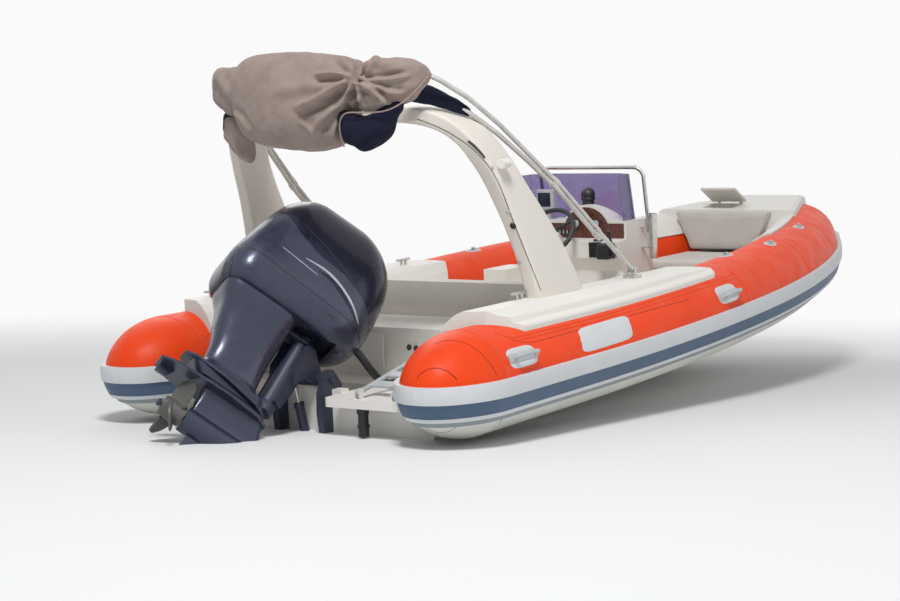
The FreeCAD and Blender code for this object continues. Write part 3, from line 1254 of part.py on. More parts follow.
make_collar()
make_strake()
make_collar_fittings()
hull_solid = make_hull()
make_platforms()
make_ladder()
make_canister()
make_bench()
make_hatch()
deck_solid = make_side_decks()
make_arch(deck_solid)
make_canopy(deck_solid)
make_cleats(deck_solid)
make_console()
cowl_solids = make_cowling()
leg_solid = make_leg()
make_gearcase(leg_solid)
make_propeller()
make_brackets()
make_hose(cowl_solids)
make_bow(hull_solid)

axis = tilt_axis_in_boat()
print("tilt axis in the boat", round(axis.y, 2), round(axis.z, 2))
for name, shape in sorted(written.items()):
    print(name, shape.isValid(), len(shape.Solids), len(shape.Faces), round(shape.Volume / 1e9, 5))
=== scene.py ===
import math

import bmesh
import bpy
import numpy as np
from mathutils import Euler, Matrix, Vector
from mathutils.bvhtree import BVHTree


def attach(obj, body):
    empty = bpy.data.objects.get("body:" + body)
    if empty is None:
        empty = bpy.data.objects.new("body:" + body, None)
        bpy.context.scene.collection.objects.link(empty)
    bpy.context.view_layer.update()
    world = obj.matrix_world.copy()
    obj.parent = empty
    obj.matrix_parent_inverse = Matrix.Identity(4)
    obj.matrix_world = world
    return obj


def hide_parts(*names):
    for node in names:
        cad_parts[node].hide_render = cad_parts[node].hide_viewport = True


bl_info = {
    "name": "Inflatable RIB boat",
    "version": (1, 0, 0),
    "blender": (4, 5, 0),
    "location": "3D View > Sidebar > RIB boat",
    "description": "Dresses the boat's frame: collar, canopy, console, cushions, outboard engine and studio",
    "category": "Object",
}

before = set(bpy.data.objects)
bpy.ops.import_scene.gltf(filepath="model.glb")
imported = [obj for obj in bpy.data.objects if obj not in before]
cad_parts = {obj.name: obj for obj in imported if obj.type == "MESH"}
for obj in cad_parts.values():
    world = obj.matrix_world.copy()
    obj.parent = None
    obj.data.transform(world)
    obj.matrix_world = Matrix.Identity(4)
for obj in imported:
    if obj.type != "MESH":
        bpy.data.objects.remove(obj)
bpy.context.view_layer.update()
NODES = {o.name: o for o in bpy.data.objects if o.type == "MESH"}

MM = 0.001
ROW = Matrix.Identity(4)
SIDES = ((1, "starboard"), (-1, "port"))

# The boat floats bow up: boat axes (millimetres, level boat) are turned by the trim into the row frame (metres).
TRIM = math.radians(4.0)
TURN = Matrix.Rotation(TRIM, 3, "X")
BOAT = Matrix.Rotation(TRIM, 4, "X") @ Matrix.Scale(MM, 4)

# collar, as in the part's source
TUBE_R = 260.0
TUBE_X = 936.0
TUBE_Z = 300.0
BEND_Y = 2540.0
BOW_Y = 5475.0
PLAN_EXPONENT = 1.66
SHEER_Y = 650.0
SHEER_RISE = 180.0
SHEER_EXPONENT = 1.28
# the tube's direction is taken between places this far before and behind
TUBE_STEP = 4.0

# the outboard engine's upright frame, tilted and steered as in the photograph
ENGINE_TILT = math.radians(-50.0)
ENGINE_STEER = math.radians(-37.0)
TILT_TUBE = (0, -83.0, 551.0)
ENGINE = (BOAT @ Matrix.Translation(TILT_TUBE) @ Matrix.Rotation(ENGINE_TILT, 4, "X")
          @ Matrix.Rotation(ENGINE_STEER, 4, "Z"))

# the photograph's camera, fitted to its picture of 900 x 601
CAMERA_PLACE = Vector((6.1024, -8.0478, 1.2218))
CAMERA_TURN = [math.radians(a) for a in (86.7341, 0.0, 33.6841)]
CAMERA_LENS = 79.078
SENSOR_WIDTH = 36.0
PICTURE_WIDTH, PICTURE_HEIGHT = 900.0, 601.0
# how far the camera's rays are followed, in metres
SIGHT = 40.0

# how far before and behind its guess a piece of trim looks for the skin that it lies on, in metres
SKIN_BEFORE, SKIN_REACH = 0.12, 0.4
# height at which a strip's edges meet the skin, in metres
EDGE_LIFT = 0.0001
# how far from the engine's middle a stripe's rays start, and where its side is about, in millimetres
COWL_OUTSIDE, COWL_HALF = 420.0, 230.0
# foam covers: how far they are drawn in before they are blown up, and how far they may rise, in metres
COVER_SHRINK, COVER_CAP = 0.004, 0.007
COVER_PRESSURE, COVER_STEPS = 4.0, 20


# ---------------------------------------------------------------- properties
class RibColours(bpy.types.PropertyGroup):
    """Colours of the boat's cloth, paint and mouldings, as sRGB hex values."""

    collar: bpy.props.StringProperty(name="Collar", description="Coated fabric of the tubes", default="F54812")
    belly: bpy.props.StringProperty(name="Collar belly", description="Fabric below the strake", default="DFE0D8")
    gelcoat: bpy.props.StringProperty(name="Gelcoat", description="Hull, decks and console", default="F1EEE8")
    canopy: bpy.props.StringProperty(name="Canopy", description="Acrylic cloth of the boot", default="A3928A")
    lining: bpy.props.StringProperty(name="Lining", description="Canopy cloth inside the boot", default="1D2033")
    cushion: bpy.props.StringProperty(name="Cushions", description="Marine vinyl", default="CFC9C3")
    engine: bpy.props.StringProperty(name="Engine", description="Metallic paint of the cowling", default="393D50")
    cap: bpy.props.StringProperty(name="Engine cap", description="Darker upper cowling", default="0E1230")


class RibSizes(bpy.types.PropertyGroup):
    """Sizes of the fabric's thread, the seam tapes and the studio."""

    thread: bpy.props.FloatProperty(name="Canopy thread", description="Spacing of the cloth's threads as drawn",
                                    default=0.0035, min=0.0005, subtype="DISTANCE", unit="LENGTH")
    seam_tape: bpy.props.FloatProperty(name="Seam tape", description="Width of the glued tapes on the tubes",
                                       default=0.032, min=0.005, subtype="DISTANCE", unit="LENGTH")
    floor: bpy.props.FloatProperty(name="Floor", description="Half width of the studio floor at the waterline",
                                   default=60.0, min=10.0, subtype="DISTANCE", unit="LENGTH")


# ---------------------------------------------------------------- shader tools
def linear(code):
    """sRGB hex to a linear RGBA colour."""
    parts = [int(code[i:i + 2], 16) / 255.0 for i in (0, 2, 4)]
    return tuple(c / 12.92 if c <= 0.04045 else ((c + 0.055) / 1.055) ** 2.4 for c in parts) + (1.0,)


def shade(code, factor):
    """A hex colour made darker or lighter, as linear RGBA."""
    return tuple(min(1.0, c * factor) for c in linear(code)[:3]) + (1.0,)


def plug(tree, node, inputs):
    """Give a node's inputs their values, or link them to other nodes' outputs."""
    for name, value in inputs.items():
        if isinstance(value, bpy.types.NodeSocket):
            tree.links.new(value, node.inputs[name])
        else:
            node.inputs[name].default_value = value


def add(tree, kind, inputs=None, out=0, **settings):
    """Add a shader node with its settings and links, and give one of its outputs."""
    node = tree.nodes.new("ShaderNode" + kind)
    for name, value in settings.items():
        setattr(node, name, value)
    plug(tree, node, inputs or {})
    return node.outputs[out]


def new_material(name):
    """Material, its node tree, and the place on the object that its patterns are drawn from."""
    mat = bpy.data.materials.new(name)
    mat.use_nodes = True
    return mat, mat.node_tree, add(mat.node_tree, "TexCoord", out="Object")


def finished(mat, **sockets):
    """Material with its Principled shader's sockets set or linked; underscores stand for spaces."""
    shader = mat.node_tree.nodes["Principled BSDF"]
    plug(mat.node_tree, shader, {name.replace("_", " "): value for name, value in sockets.items()})
    return mat


def cloud(place, size, detail=3.0, rough=0.55):
    """Inputs of a noise whose patches are size millimetres wide."""
    return {"Vector": place, "Scale": 1000.0 / size, "Detail": detail, "Roughness": rough}


def uneven(tree, place, size, low, high, window=(0.3, 0.7), detail=3.0, rough=0.55):
    """Value that wanders over the surface between low and high, in patches of size millimetres."""
    pattern = add(tree, "TexNoise", cloud(place, size, detail, rough))
    return add(tree, "MapRange", {"Value": pattern, "From Min": window[0], "From Max": window[1],
                                  "To Min": low, "To Max": high})


def two_tone(tree, pattern, window, code, low, high):
    """Two shades of one colour, blended where a pattern's value lies within the window."""
    share = add(tree, "MapRange", {"Value": pattern, "From Min": window[0], "From Max": window[1]})
    return add(tree, "MixRGB", {"Fac": share, "Color1": shade(code, low), "Color2": shade(code, high)})


def mottled(tree, place, code, spread, size):
    """Colour with a slow variation of +-spread, in patches of size millimetres."""
    return two_tone(tree, add(tree, "TexNoise", cloud(place, size)), (0.3, 0.7), code, 1 - spread, 1 + spread)


def stained(tree, place, body, stain, size, most, window, detail, rough=0.55):
    """Body colour with another laid over it, up to a share of most, in patches of size millimetres."""
    share = uneven(tree, place, size, 0.0, most, window, detail, rough)
    return add(tree, "MixRGB", {"Fac": share, "Color1": body, "Color2": stain})


def relief(tree, place, size, detail, strength, distance, under=None):
    """Bumps of size millimetres, over a finer relief where one is given; distance in metres."""
    height = add(tree, "TexNoise", cloud(place, size, detail))
    inputs = {"Height": height, "Strength": strength, "Distance": distance}
    if under is not None:
        inputs["Normal"] = under
    return add(tree, "Bump", inputs)


def threads(tree, place, spacing):
    """Plain weave: sets of threads along each axis, spacing in metres; one wave spans two threads."""
    sets = [add(tree, "TexWave", {"Vector": place, "Scale": WAVE_SCALE / spacing, "Distortion": 0.6, "Detail": 1.0},
                out="Fac", wave_type="BANDS", bands_direction=direction) for direction in "XYZ"]
    first = add(tree, "Math", {0: sets[0], 1: sets[1]}, operation="MAXIMUM")
    return add(tree, "Math", {0: first, 1: sets[2]}, operation="MAXIMUM")


def seen_plainly(tree):
    """1 for rays from the camera, off mirrors and through glass, and 0 for the light that falls on the boat."""
    share = add(tree, "LightPath", out="Is Camera Ray")
    for ray in ("Is Glossy Ray", "Is Transmission Ray"):
        share = add(tree, "Math", {0: share, 1: add(tree, "LightPath", out=ray)}, operation="MAXIMUM")
    return share


# ---------------------------------------------------------------- materials
# scale of a wave texture that spans two metres, for a spacing of one
WAVE_SCALE = 0.159155
# polyester under the tubes' rubber: real threads stand 1 mm apart, drawn at 2.2 mm so that they show
COATED_THREAD = 0.0022
WHITE = (1.0, 1.0, 1.0, 1.0)
# strength of the white that the camera sees behind the boat, and of the light that reaches it from there
BACKDROP_LEVEL, SKY_LEVEL = 0.96, 0.27
# the floor turns to that white between these distances from the origin, in metres
FADE_START, FADE_END = 3.6, 10.0
# share of the orange's own colour that is held back from what it lights
SPILL_HELD = 0.75


def coated_fabric(name, code):
    """Rubber-coated polyester: matte, with a faint weave under the rubber, salt haze and scuffs."""
    mat, tree, place = new_material(name)
    body = stained(tree, place, mottled(tree, place, code, 0.05, 333.3), linear("F2E9DE"), 26.3, 0.07,
                   (0.62, 0.85), 6.0, 0.7)
    # the colour that spills onto the white mouldings is held back, as the open sky outshines it
    spill = {0: add(tree, "LightPath", out="Is Diffuse Ray"), 1: SPILL_HELD}
    spill = add(tree, "Math", spill, operation="MULTIPLY")
    body = add(tree, "MixRGB", {"Fac": spill, "Color1": body, "Color2": linear("9A8F88")})
    weave = add(tree, "Bump", {"Height": threads(tree, place, COATED_THREAD), "Strength": 0.10, "Distance": 0.0004})
    return finished(mat, IOR=1.4, Specular_IOR_Level=0.35, Base_Color=body,
                    Roughness=uneven(tree, place, 111.1, 0.38, 0.55),
                    Normal=relief(tree, place, 200.0, 2.0, 0.08, 0.003, weave))


def moulded_rubber(name, code, rough=0.5):
    """Extruded EPDM strake: matte, with fine pores and dust in them."""
    mat, tree, place = new_material(name)
    return finished(mat, IOR=1.5, Base_Color=mottled(tree, place, code, 0.025, 166.7),
                    Roughness=uneven(tree, place, 111.1, rough - 0.03, rough + 0.05),
                    Normal=relief(tree, place, 2.38, 2.0, 0.12, 0.0006))


def gelcoat(name, code, stain=0.04):
    """Sprayed gelcoat on glass fibre: softly glossy, gently uneven, with faint yellowing and rain marks."""
    mat, tree, place = new_material(name)
    # rain marks run down, so they are drawn longer in height
    streak = add(tree, "Mapping", {"Vector": place, "Scale": (3.0, 3.0, 1.2)})
    body = stained(tree, streak, mottled(tree, place, code, 0.012, 588.2), linear("B9AE97"), 1000.0, stain,
                   (0.56, 0.82), 4.0)
    return finished(mat, IOR=1.45, Specular_IOR_Level=0.3, Coat_Weight=0.05, Coat_Roughness=0.25, Base_Color=body,
                    Roughness=uneven(tree, place, 166.7, 0.40, 0.48, (0.3, 0.75)),
                    Normal=relief(tree, place, 333.3, 1.0, 0.04, 0.002))


def metallic_paint(name, code, flake=0.35, rough=0.26):
    """Sprayed metallic lacquer on a moulded cowling: flakes that sparkle under a clear coat."""
    mat, tree, place = new_material(name)
    # real flake is 0.05 mm; drawn at 0.6 mm so that it shows
    cells = add(tree, "TexVoronoi", {"Vector": place, "Scale": 1000.0 / 0.625}, out="Color")
    spark = two_tone(tree, cells, (0.2, 0.9), code, 1 - flake, 1 + 1.6 * flake)
    haze = two_tone(tree, add(tree, "TexNoise", cloud(place, 166.7)), (0.35, 0.7), code, 0.9, 1.12)
    return finished(mat, Metallic=0.35, Coat_Weight=0.35, Coat_Roughness=0.12, IOR=1.45, Specular_IOR_Level=0.35,
                    Base_Color=add(tree, "MixRGB", {"Fac": 0.5, "Color1": spark, "Color2": haze}),
                    Roughness=uneven(tree, place, 55.6, rough, rough + 0.14, (0.4, 0.8), 6.0),
                    Normal=relief(tree, place, 1.11, 1.0, 0.04, 0.0003))


def cast_paint(name, code, wear="6B6A68"):
    """Satin paint on die-cast aluminium: rough from casting, chipped to the primer."""
    mat, tree, place = new_material(name)
    chips = uneven(tree, place, 18.2, 0.0, 0.75, (0.63, 0.70), 8.0, 0.65)
    body = {"Fac": chips, "Color1": mottled(tree, place, code, 0.1, 125.0), "Color2": linear(wear)}
    return finished(mat, Metallic=0.1, IOR=1.5, Base_Color=add(tree, "MixRGB", body),
                    Roughness=add(tree, "MapRange", {"Value": chips, "To Min": 0.42, "To Max": 0.62}),
                    Normal=relief(tree, place, 3.85, 3.0, 0.2, 0.0008))


def stainless(name, code="C9C8C4", rough=0.16):
    """Polished stainless tube: bright, with drawn scratches and tea stains."""
    mat, tree, place = new_material(name)
    return finished(mat, Metallic=1.0, Base_Color=mottled(tree, place, code, 0.12, 90.9),
                    Roughness=uneven(tree, place, 14.3, rough, rough + 0.16, (0.3, 0.8), 4.0),
                    Normal=relief(tree, place, 2.0, 1.0, 0.05, 0.0003))


def acrylic_cloth(name, code, spacing, sheen=0.12):
    """Solution-dyed woven acrylic: matte, with a visible canvas weave and dust in its folds."""
    mat, tree, place = new_material(name)
    cloth = threads(tree, place, spacing)
    body = add(tree, "MixRGB", {"Fac": 0.3, "Color1": mottled(tree, place, code, 0.10, 250.0),
                                "Color2": two_tone(tree, cloth, (0.2, 0.9), code, 0.86, 1.06)})
    weave = add(tree, "Bump", {"Height": cloth, "Strength": 0.15, "Distance": 0.0007})
    return finished(mat, Roughness=0.9, Sheen_Weight=sheen, Sheen_Roughness=0.6, IOR=1.4, Specular_IOR_Level=0.2,
                    Base_Color=stained(tree, place, body, shade(code, 0.62), 111.1, 0.55, (0.46, 0.76), 5.0, 0.7),
                    Normal=relief(tree, place, 38.5, 3.0, 0.35, 0.006, weave))


def marine_vinyl(name, code):
    """Embossed vinyl over foam: satin, with a leather grain of 2 mm and slight creasing."""
    mat, tree, place = new_material(name)
    grain = add(tree, "TexVoronoi", {"Vector": place, "Scale": 1000.0 / 1.92}, feature="DISTANCE_TO_EDGE")
    emboss = add(tree, "Bump", {"Height": grain, "Strength": 0.2, "Distance": 0.0006})
    return finished(mat, IOR=1.5, Sheen_Weight=0.1, Base_Color=mottled(tree, place, code, 0.05, 166.7),
                    Roughness=uneven(tree, place, 33.3, 0.42, 0.56),
                    Normal=relief(tree, place, 83.3, 2.0, 0.2, 0.006, emboss))


def moulded_plastic(name, code, rough=0.42):
    """Injection-moulded ABS or nylon: satin, with spark-eroded grain, drawn at 1.4 mm so that it shows."""
    mat, tree, place = new_material(name)
    return finished(mat, IOR=1.53, Base_Color=mottled(tree, place, code, 0.06, 62.5),
                    Roughness=uneven(tree, place, 11.1, rough - 0.07, rough + 0.08),
                    Normal=relief(tree, place, 1.43, 2.0, 0.12, 0.0004))


def tinted_acrylic(name, code):
    """Cast acrylic screen, tinted through: clear, glossy, with fine scratches."""
    mat, tree, place = new_material(name)
    return finished(mat, IOR=1.49, Transmission_Weight=0.75, Alpha=0.72,
                    Base_Color=mottled(tree, place, code, 0.08, 333.3),
                    Roughness=uneven(tree, place, 22.7, 0.06, 0.2, (0.4, 0.8), 6.0))


def speckled_gelcoat(name, code, fleck):
    """Dark granite-look gelcoat: light flecks in a glossy red-brown."""
    mat, tree, place = new_material(name)
    # real flecks are 1 to 2 mm; drawn at 3.3 mm so that they show
    cells = add(tree, "TexVoronoi", {"Vector": place, "Scale": 1000.0 / 3.33}, out="Color")
    flecks = add(tree, "MapRange", {"Value": cells, "From Min": 0.55, "From Max": 0.75, "To Max": 0.8})
    body = {"Fac": flecks, "Color1": mottled(tree, place, code, 0.2, 111.1), "Color2": linear(fleck)}
    return finished(mat, IOR=1.52, Coat_Weight=0.4, Coat_Roughness=0.1, Base_Color=add(tree, "MixRGB", body),
                    Roughness=uneven(tree, place, 20.0, 0.24, 0.4))


def studio_floor(name):
    """Seamless pale studio floor: holds the boat's shadow nearby and runs out to plain white far off."""
    mat, tree, place = new_material(name)
    finished(mat, Roughness=0.9, Base_Color=mottled(tree, place, "F2F3F4", 0.006, 1666.7))
    reach = add(tree, "VectorMath", {0: place}, out="Value", operation="LENGTH")
    far = add(tree, "MapRange", {"Value": reach, "From Min": FADE_START, "From Max": FADE_END},
              interpolation_type="SMOOTHSTEP")
    share = add(tree, "Math", {0: far, 1: seen_plainly(tree)}, operation="MULTIPLY")
    white = add(tree, "Emission", {"Color": WHITE, "Strength": BACKDROP_LEVEL})
    lit = tree.nodes["Principled BSDF"].outputs["BSDF"]
    plug(tree, tree.nodes["Material Output"], {"Surface": add(tree, "MixShader", {0: share, 1: lit, 2: white})})
    return mat


# this file's finishes by their short names
MATERIALS = {}


def build_materials():
    """Make every finish from the colours and sizes that the panel shows."""
    c, s = bpy.context.scene.rib_colours, bpy.context.scene.rib_sizes
    MATERIALS.update({
        "collar": coated_fabric("coated_fabric_orange", c.collar),
        # darker orange of the end caps' glue lines, also used as painted shade in the fold beside the deck's lip
        "collar_line": coated_fabric("coated_fabric_glue_line_and_fold_shade", "A02A10"),
        "belly": coated_fabric("coated_fabric_cream", c.belly),
        "strake_white": moulded_rubber("epdm_white", "DADDE0"),
        "strake_blue": moulded_rubber("epdm_slate_blue", "4C6480"),
        "strake_dark": moulded_rubber("epdm_grey", "8F979B"),
        "gelcoat": gelcoat("gelcoat_white", c.gelcoat),
        "arch": gelcoat("gelcoat_arch", "EDE7DE", 0.07),
        "vinyl": marine_vinyl("marine_vinyl_grey", c.cushion),
        "stainless": stainless("stainless_polished"),
        "cloth": acrylic_cloth("acrylic_cloth_taupe", c.canopy, s.thread),
        "lining": acrylic_cloth("acrylic_cloth_navy", c.lining, s.thread, 0.02),
        "wheel": moulded_plastic("polyurethane_black", "202328", 0.5),
        "black": moulded_plastic("nylon_black", "15171A", 0.4),
        # dark finish: sealant along the arch's flange line, and painted shade in the arch's wiring slot and the well's
        # drain holes
        "shadow": moulded_plastic("sealant_and_painted_shade", "4A4744", 0.6),
        "grey": moulded_plastic("nylon_grey", "B9BEC0"),
        "plotter": moulded_plastic("abs_light_grey", "B6B9BD", 0.35),
        "screen": tinted_acrylic("acrylic_purple_tint", "5A4690"),
        "engine": metallic_paint("lacquer_blue_grey", c.engine),
        "cap": metallic_paint("lacquer_midnight", c.cap, 0.2, 0.2),
        "silver": metallic_paint("lacquer_silver", "B4B8C2", 0.15, 0.3),
        "bracket": cast_paint("cast_aluminium_dark", "33384A"),
        "prop": cast_paint("cast_aluminium_worn", "5F5D5A", "9A968C"),
        "dash": speckled_gelcoat("gelcoat_granite", "4A1A14", "8C5A4A"),
        "lid": gelcoat("gelcoat_lid", "DCDAD4"),
        "cast": cast_paint("cast_iron_block", "4A4A48"),
    })


# the CAD nodes that carry each finish
FINISH_NODES = {
    "collar": "tube_upper",
    "belly": "tube_lower",
    "strake_white": "strake_lip strake_piping",
    "strake_blue": "strake_band",
    "strake_dark": "strake_foot",
    "gelcoat": "hull swim_platforms bench_box side_deck_starboard side_deck_port arch_lamp console "
               "bow_deck bow_seat bulkhead_hatch",
    "vinyl": "bench_backrest bench_cushion bow_backrest bow_cushion",
    "arch": "arch",
    "stainless": "canopy_frame canopy_feet rod_holder windscreen_rail tilt_rod deck_cleats",
    "cloth": "canopy_boot",
    "dash": "dash_panel",
    "black": "compass helm_controls rigging_hose filter_canister",
    "plotter": "plotter",
    "wheel": "steering_wheel",
    "screen": "windscreen",
    "cap": "cowl_cap",
    "engine": "cowl_side cowl_lower midsection gearcase",
    "cast": "powerhead_block",
    "prop": "propeller",
    "bracket": "swivel_bracket clamp_bracket tilt_cylinder",
    "lid": "locker_lid",
    "grey": "boarding_ladder grab_handles lacing_eyes air_valves",
}


# ---------------------------------------------------------------- mesh tools
def mesh_object(name, points, faces, finish, matrix=BOAT, body="boat"):
    """Smooth mesh from points in boat millimetres, or in another matrix's frame."""
    data = bpy.data.meshes.new(name)
    data.from_pydata([matrix @ Vector(p) for p in points], [], faces)
    data.update()
    obj = bpy.data.objects.new(name, data)
    bpy.context.scene.collection.objects.link(obj)
    data.materials.append(MATERIALS[finish])
    bm = bmesh.new()
    bm.from_mesh(data)
    bmesh.ops.recalc_face_normals(bm, faces=bm.faces)
    bm.to_mesh(data)
    bm.free()
    data.shade_smooth()
    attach(obj, body)
    return obj


def grid_faces(rows, columns, closed=False):
    """Faces of a sheet of rows of points, or of a tube where each row is a closed ring."""
    faces = []
    for i in range(rows - 1):
        for j in range(columns if closed else columns - 1):
            k = (j + 1) % columns
            faces.append((i * columns + j, i * columns + k, (i + 1) * columns + k, (i + 1) * columns + j))
    return faces


def tube_faces(rows, around, foot=True, head=True):
    """Faces of a tube of rings, with flat ends."""
    faces = grid_faces(rows, around, closed=True)
    if foot:
        faces.append(tuple(range(around - 1, -1, -1)))
    if head:
        faces.append(tuple(range((rows - 1) * around, rows * around)))
    return faces


def angles(around, start=0.0):
    """Even steps round a full turn, from start steps on."""
    return [2 * math.pi * (k + start) / around for k in range(around)]


def squared(a, power):
    """Cosine and sine at angle a of an outline between a circle (power 1) and a square (power 0)."""
    c, s = math.cos(a), math.sin(a)
    return math.copysign(abs(c) ** power, c), math.copysign(abs(s) ** power, s)


def turned(profile, around, move, size=1.0):
    """Points of (radius, height) rows that are spun round the z axis and then moved."""
    return [move @ Vector((r * size * math.cos(a), r * size * math.sin(a), h * size))
            for r, h in profile for a in angles(around)]


def facing(direction):
    """Turn that brings the z axis into a direction."""
    return Vector((0, 0, 1)).rotation_difference(direction).to_matrix().to_4x4()


def spline(rows, count):
    """Catmull-Rom curve through the rows, as count rows that divide each of its spans evenly."""
    a = np.array(rows, float)
    t = np.linspace(0, len(a) - 1, count)
    i = np.clip(t.astype(int), 0, len(a) - 2)
    f = (t - i)[:, None]
    p0, p1 = a[np.clip(i - 1, 0, len(a) - 1)], a[i]
    p2, p3 = a[i + 1], a[np.clip(i + 2, 0, len(a) - 1)]
    return 0.5 * (2 * p1 + (p2 - p0) * f + (2 * p0 - 5 * p1 + 4 * p2 - p3) * f ** 2
                  + (3 * p1 - p0 - 3 * p2 + p3) * f ** 3)


def bevelled(obj, width, angle=35.0):
    """Round an object's edges that are sharper than an angle in degrees; width in metres."""
    mod = obj.modifiers.new("bevel", "BEVEL")
    mod.width = width
    mod.segments = 3
    mod.limit_method = "ANGLE"
    mod.angle_limit = math.radians(angle)
    return obj


def lathe(name, profile, place, aim, finish, body="boat", around=32, close=True, matrix=BOAT):
    """Turned part: (radius, height) rows spun round aim at place, in boat millimetres."""
    move = Matrix.Translation(Vector(place)) @ facing(Vector(aim).normalized())
    return mesh_object(name, turned(profile, around, move), tube_faces(len(profile), around, close, close), finish,
                       matrix, body)


def round_bar(name, points, radius, finish, body="boat"):
    """Round bar along a smooth line through points in boat millimetres."""
    curve = bpy.data.curves.new(name, "CURVE")
    curve.dimensions = "3D"
    line = curve.splines.new("NURBS")
    line.points.add(len(points) - 1)
    for point, p in zip(line.points, points):
        point.co = tuple(BOAT @ Vector(p)) + (1.0,)
    line.order_u = 3
    line.use_endpoint_u = True
    line.resolution_u = 10
    curve.bevel_depth = radius * MM
    curve.bevel_resolution = 4
    curve.use_fill_caps = True
    obj = bpy.data.objects.new(name, curve)
    bpy.context.scene.collection.objects.link(obj)
    curve.materials.append(MATERIALS[finish])
    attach(obj, body)
    return obj


def soft_box(name, low, high, finish, bevel=3.0, body="boat", matrix=BOAT):
    """Box with rounded edges between two corners, in millimetres of the given frame."""
    (x0, y0, z0), (x1, y1, z1) = low, high
    points = [(x, y, z) for z in (z0, z1) for x, y in ((x0, y0), (x1, y0), (x1, y1), (x0, y1))]
    faces = [(0, 3, 2, 1), (4, 5, 6, 7), (0, 1, 5, 4), (1, 2, 6, 5), (2, 3, 7, 6), (3, 0, 4, 7)]
    return bevelled(mesh_object(name, points, faces, finish, matrix, body), bevel * MM)


# ---------------------------------------------------------------- trim laid on a skin
def skin_tree(*meshes):
    """Search tree over surfaces in the row frame: CAD nodes by name, or finished objects."""
    points, faces = [], []
    for mesh in meshes:
        data = NODES[mesh].data if isinstance(mesh, str) else mesh.data
        base = len(points)
        points += [v.co.copy() for v in data.vertices]
        faces += [[base + i for i in p.vertices] for p in data.polygons]
    return BVHTree.FromPolygons(points, faces)


def towards(normal, ray):
    """The normal of a hit, turned to face the ray."""
    return -normal if normal.dot(ray) > 0 else normal


def on_skin(tree, point, inward, lift):
    """Drop a point onto a surface along inward and lift it off again; all in row metres."""
    hit, normal, _, _ = tree.ray_cast(point - inward * SKIN_BEFORE, inward, SKIN_REACH)
    return point if hit is None else hit + towards(normal, inward) * lift


def spot(tree, u, v):
    """Place and normal of the skin that lies behind one point (u, v) of the photograph, or None."""
    pitch = SENSOR_WIDTH / PICTURE_WIDTH
    ray = Vector(((u - PICTURE_WIDTH / 2) * pitch / CAMERA_LENS, (PICTURE_HEIGHT / 2 - v) * pitch / CAMERA_LENS, -1.0))
    ray = Euler(CAMERA_TURN).to_matrix() @ ray.normalized()
    hit, normal, _, _ = tree.ray_cast(CAMERA_PLACE, ray, SIGHT)
    return hit and (hit, towards(normal, ray))


def seam(name, tree, marks, width, finish, lift=0.0008, body="boat", count=36):
    """Narrow strip laid on a skin through points given in the picture; width in millimetres."""
    hits = [h for h in (spot(tree, float(u), float(v)) for u, v in spline(marks, count)) if h]
    last = len(hits) - 1
    points = []
    for i, (p, n) in enumerate(hits):
        along = hits[min(i + 1, last)][0] - hits[max(i - 1, 0)][0]
        side = n.cross(along).normalized()
        for k, h in ((-0.5, EDGE_LIFT), (-0.3, lift), (0.3, lift), (0.5, EDGE_LIFT)):
            points.append(on_skin(tree, p + side * width * MM * k, -n, h))
    return mesh_object(name, points, grid_faces(last + 1, 4), finish, ROW, body)


def bolt(name, place, normal, radius, finish, height=0.35):
    """Domed bolt head on a skin, in row metres; rows and height are in radii, the radius in millimetres."""
    rows = ((1.25, -0.05), (1.25, 0.1), (1.0, 0.12), (0.95, 0.6 * height + 0.1), (0.6, height + 0.12),
            (0.05, height + 0.16))
    move = Matrix.Translation(place) @ facing(normal) @ Matrix.Scale(MM, 4)
    return mesh_object(name, turned(rows, 20, move, radius), tube_faces(len(rows), 20, foot=False), finish, ROW)


# ---------------------------------------------------------------- stage
LAMPS = (
    # name, watts, size, place and aim in metres
    ("key_light", 780.0, 2.4, (3.5, -5.0, 9.5), (0.0, 1.5, 0.6)),
    ("fill_light", 90.0, 7.0, (9.5, 3.0, 5.0), (0.0, 2.0, 0.5)),
    ("back_light", 200.0, 6.0, (-7.5, 7.0, 8.0), (0.0, 2.0, 0.6)),
)


class RIB_OT_stage(bpy.types.Operator):
    """Camera at the photograph's angle, pale floor at the waterline and soft light"""

    bl_idname = "rib.stage"
    bl_label = "Stage"

    def execute(self, context):
        scene = context.scene
        camera = bpy.data.cameras.new("camera")
        camera.sensor_width = SENSOR_WIDTH
        camera.lens = CAMERA_LENS
        camera.clip_end = 10 * SIGHT
        rig = bpy.data.objects.new("camera", camera)
        scene.collection.objects.link(rig)
        rig.location = CAMERA_PLACE
        rig.rotation_euler = CAMERA_TURN
        scene.camera = rig

        half = scene.rib_sizes.floor
        data = bpy.data.meshes.new("floor")
        data.from_pydata([(-half, -half, 0), (half, -half, 0), (half, half, 0), (-half, half, 0)], [], [(0, 1, 2, 3)])
        floor = bpy.data.objects.new("floor", data)
        scene.collection.objects.link(floor)
        data.materials.append(studio_floor("studio_floor_pale"))

        for name, energy, size, place, aim in LAMPS:
            light = bpy.data.lights.new(name, "AREA")
            light.energy = energy
            light.size = size
            lamp = bpy.data.objects.new(name, light)
            scene.collection.objects.link(lamp)
            lamp.location = place
            lamp.rotation_euler = (Vector(aim) - Vector(place)).to_track_quat("-Z", "Y").to_euler()

        scene.world = bpy.data.worlds.new("studio")
        scene.world.use_nodes = True
        tree = scene.world.node_tree
        level = {"Value": seen_plainly(tree), "To Min": SKY_LEVEL, "To Max": BACKDROP_LEVEL}
        plug(tree, tree.nodes["Background"], {"Color": WHITE, "Strength": add(tree, "MapRange", level)})
        scene.view_settings.view_transform = "Standard"
        return {"FINISHED"}


class RIB_OT_finishes(bpy.types.Operator):
    """Give every carried-over piece of the boat its own material"""

    bl_idname = "rib.finishes"
    bl_label = "Finishes"

    def execute(self, context):
        for finish, names in FINISH_NODES.items():
            for name in names.split():
                materials = NODES[name].data.materials
                materials.clear()
                materials.append(MATERIALS[finish])
        return {"FINISHED"}


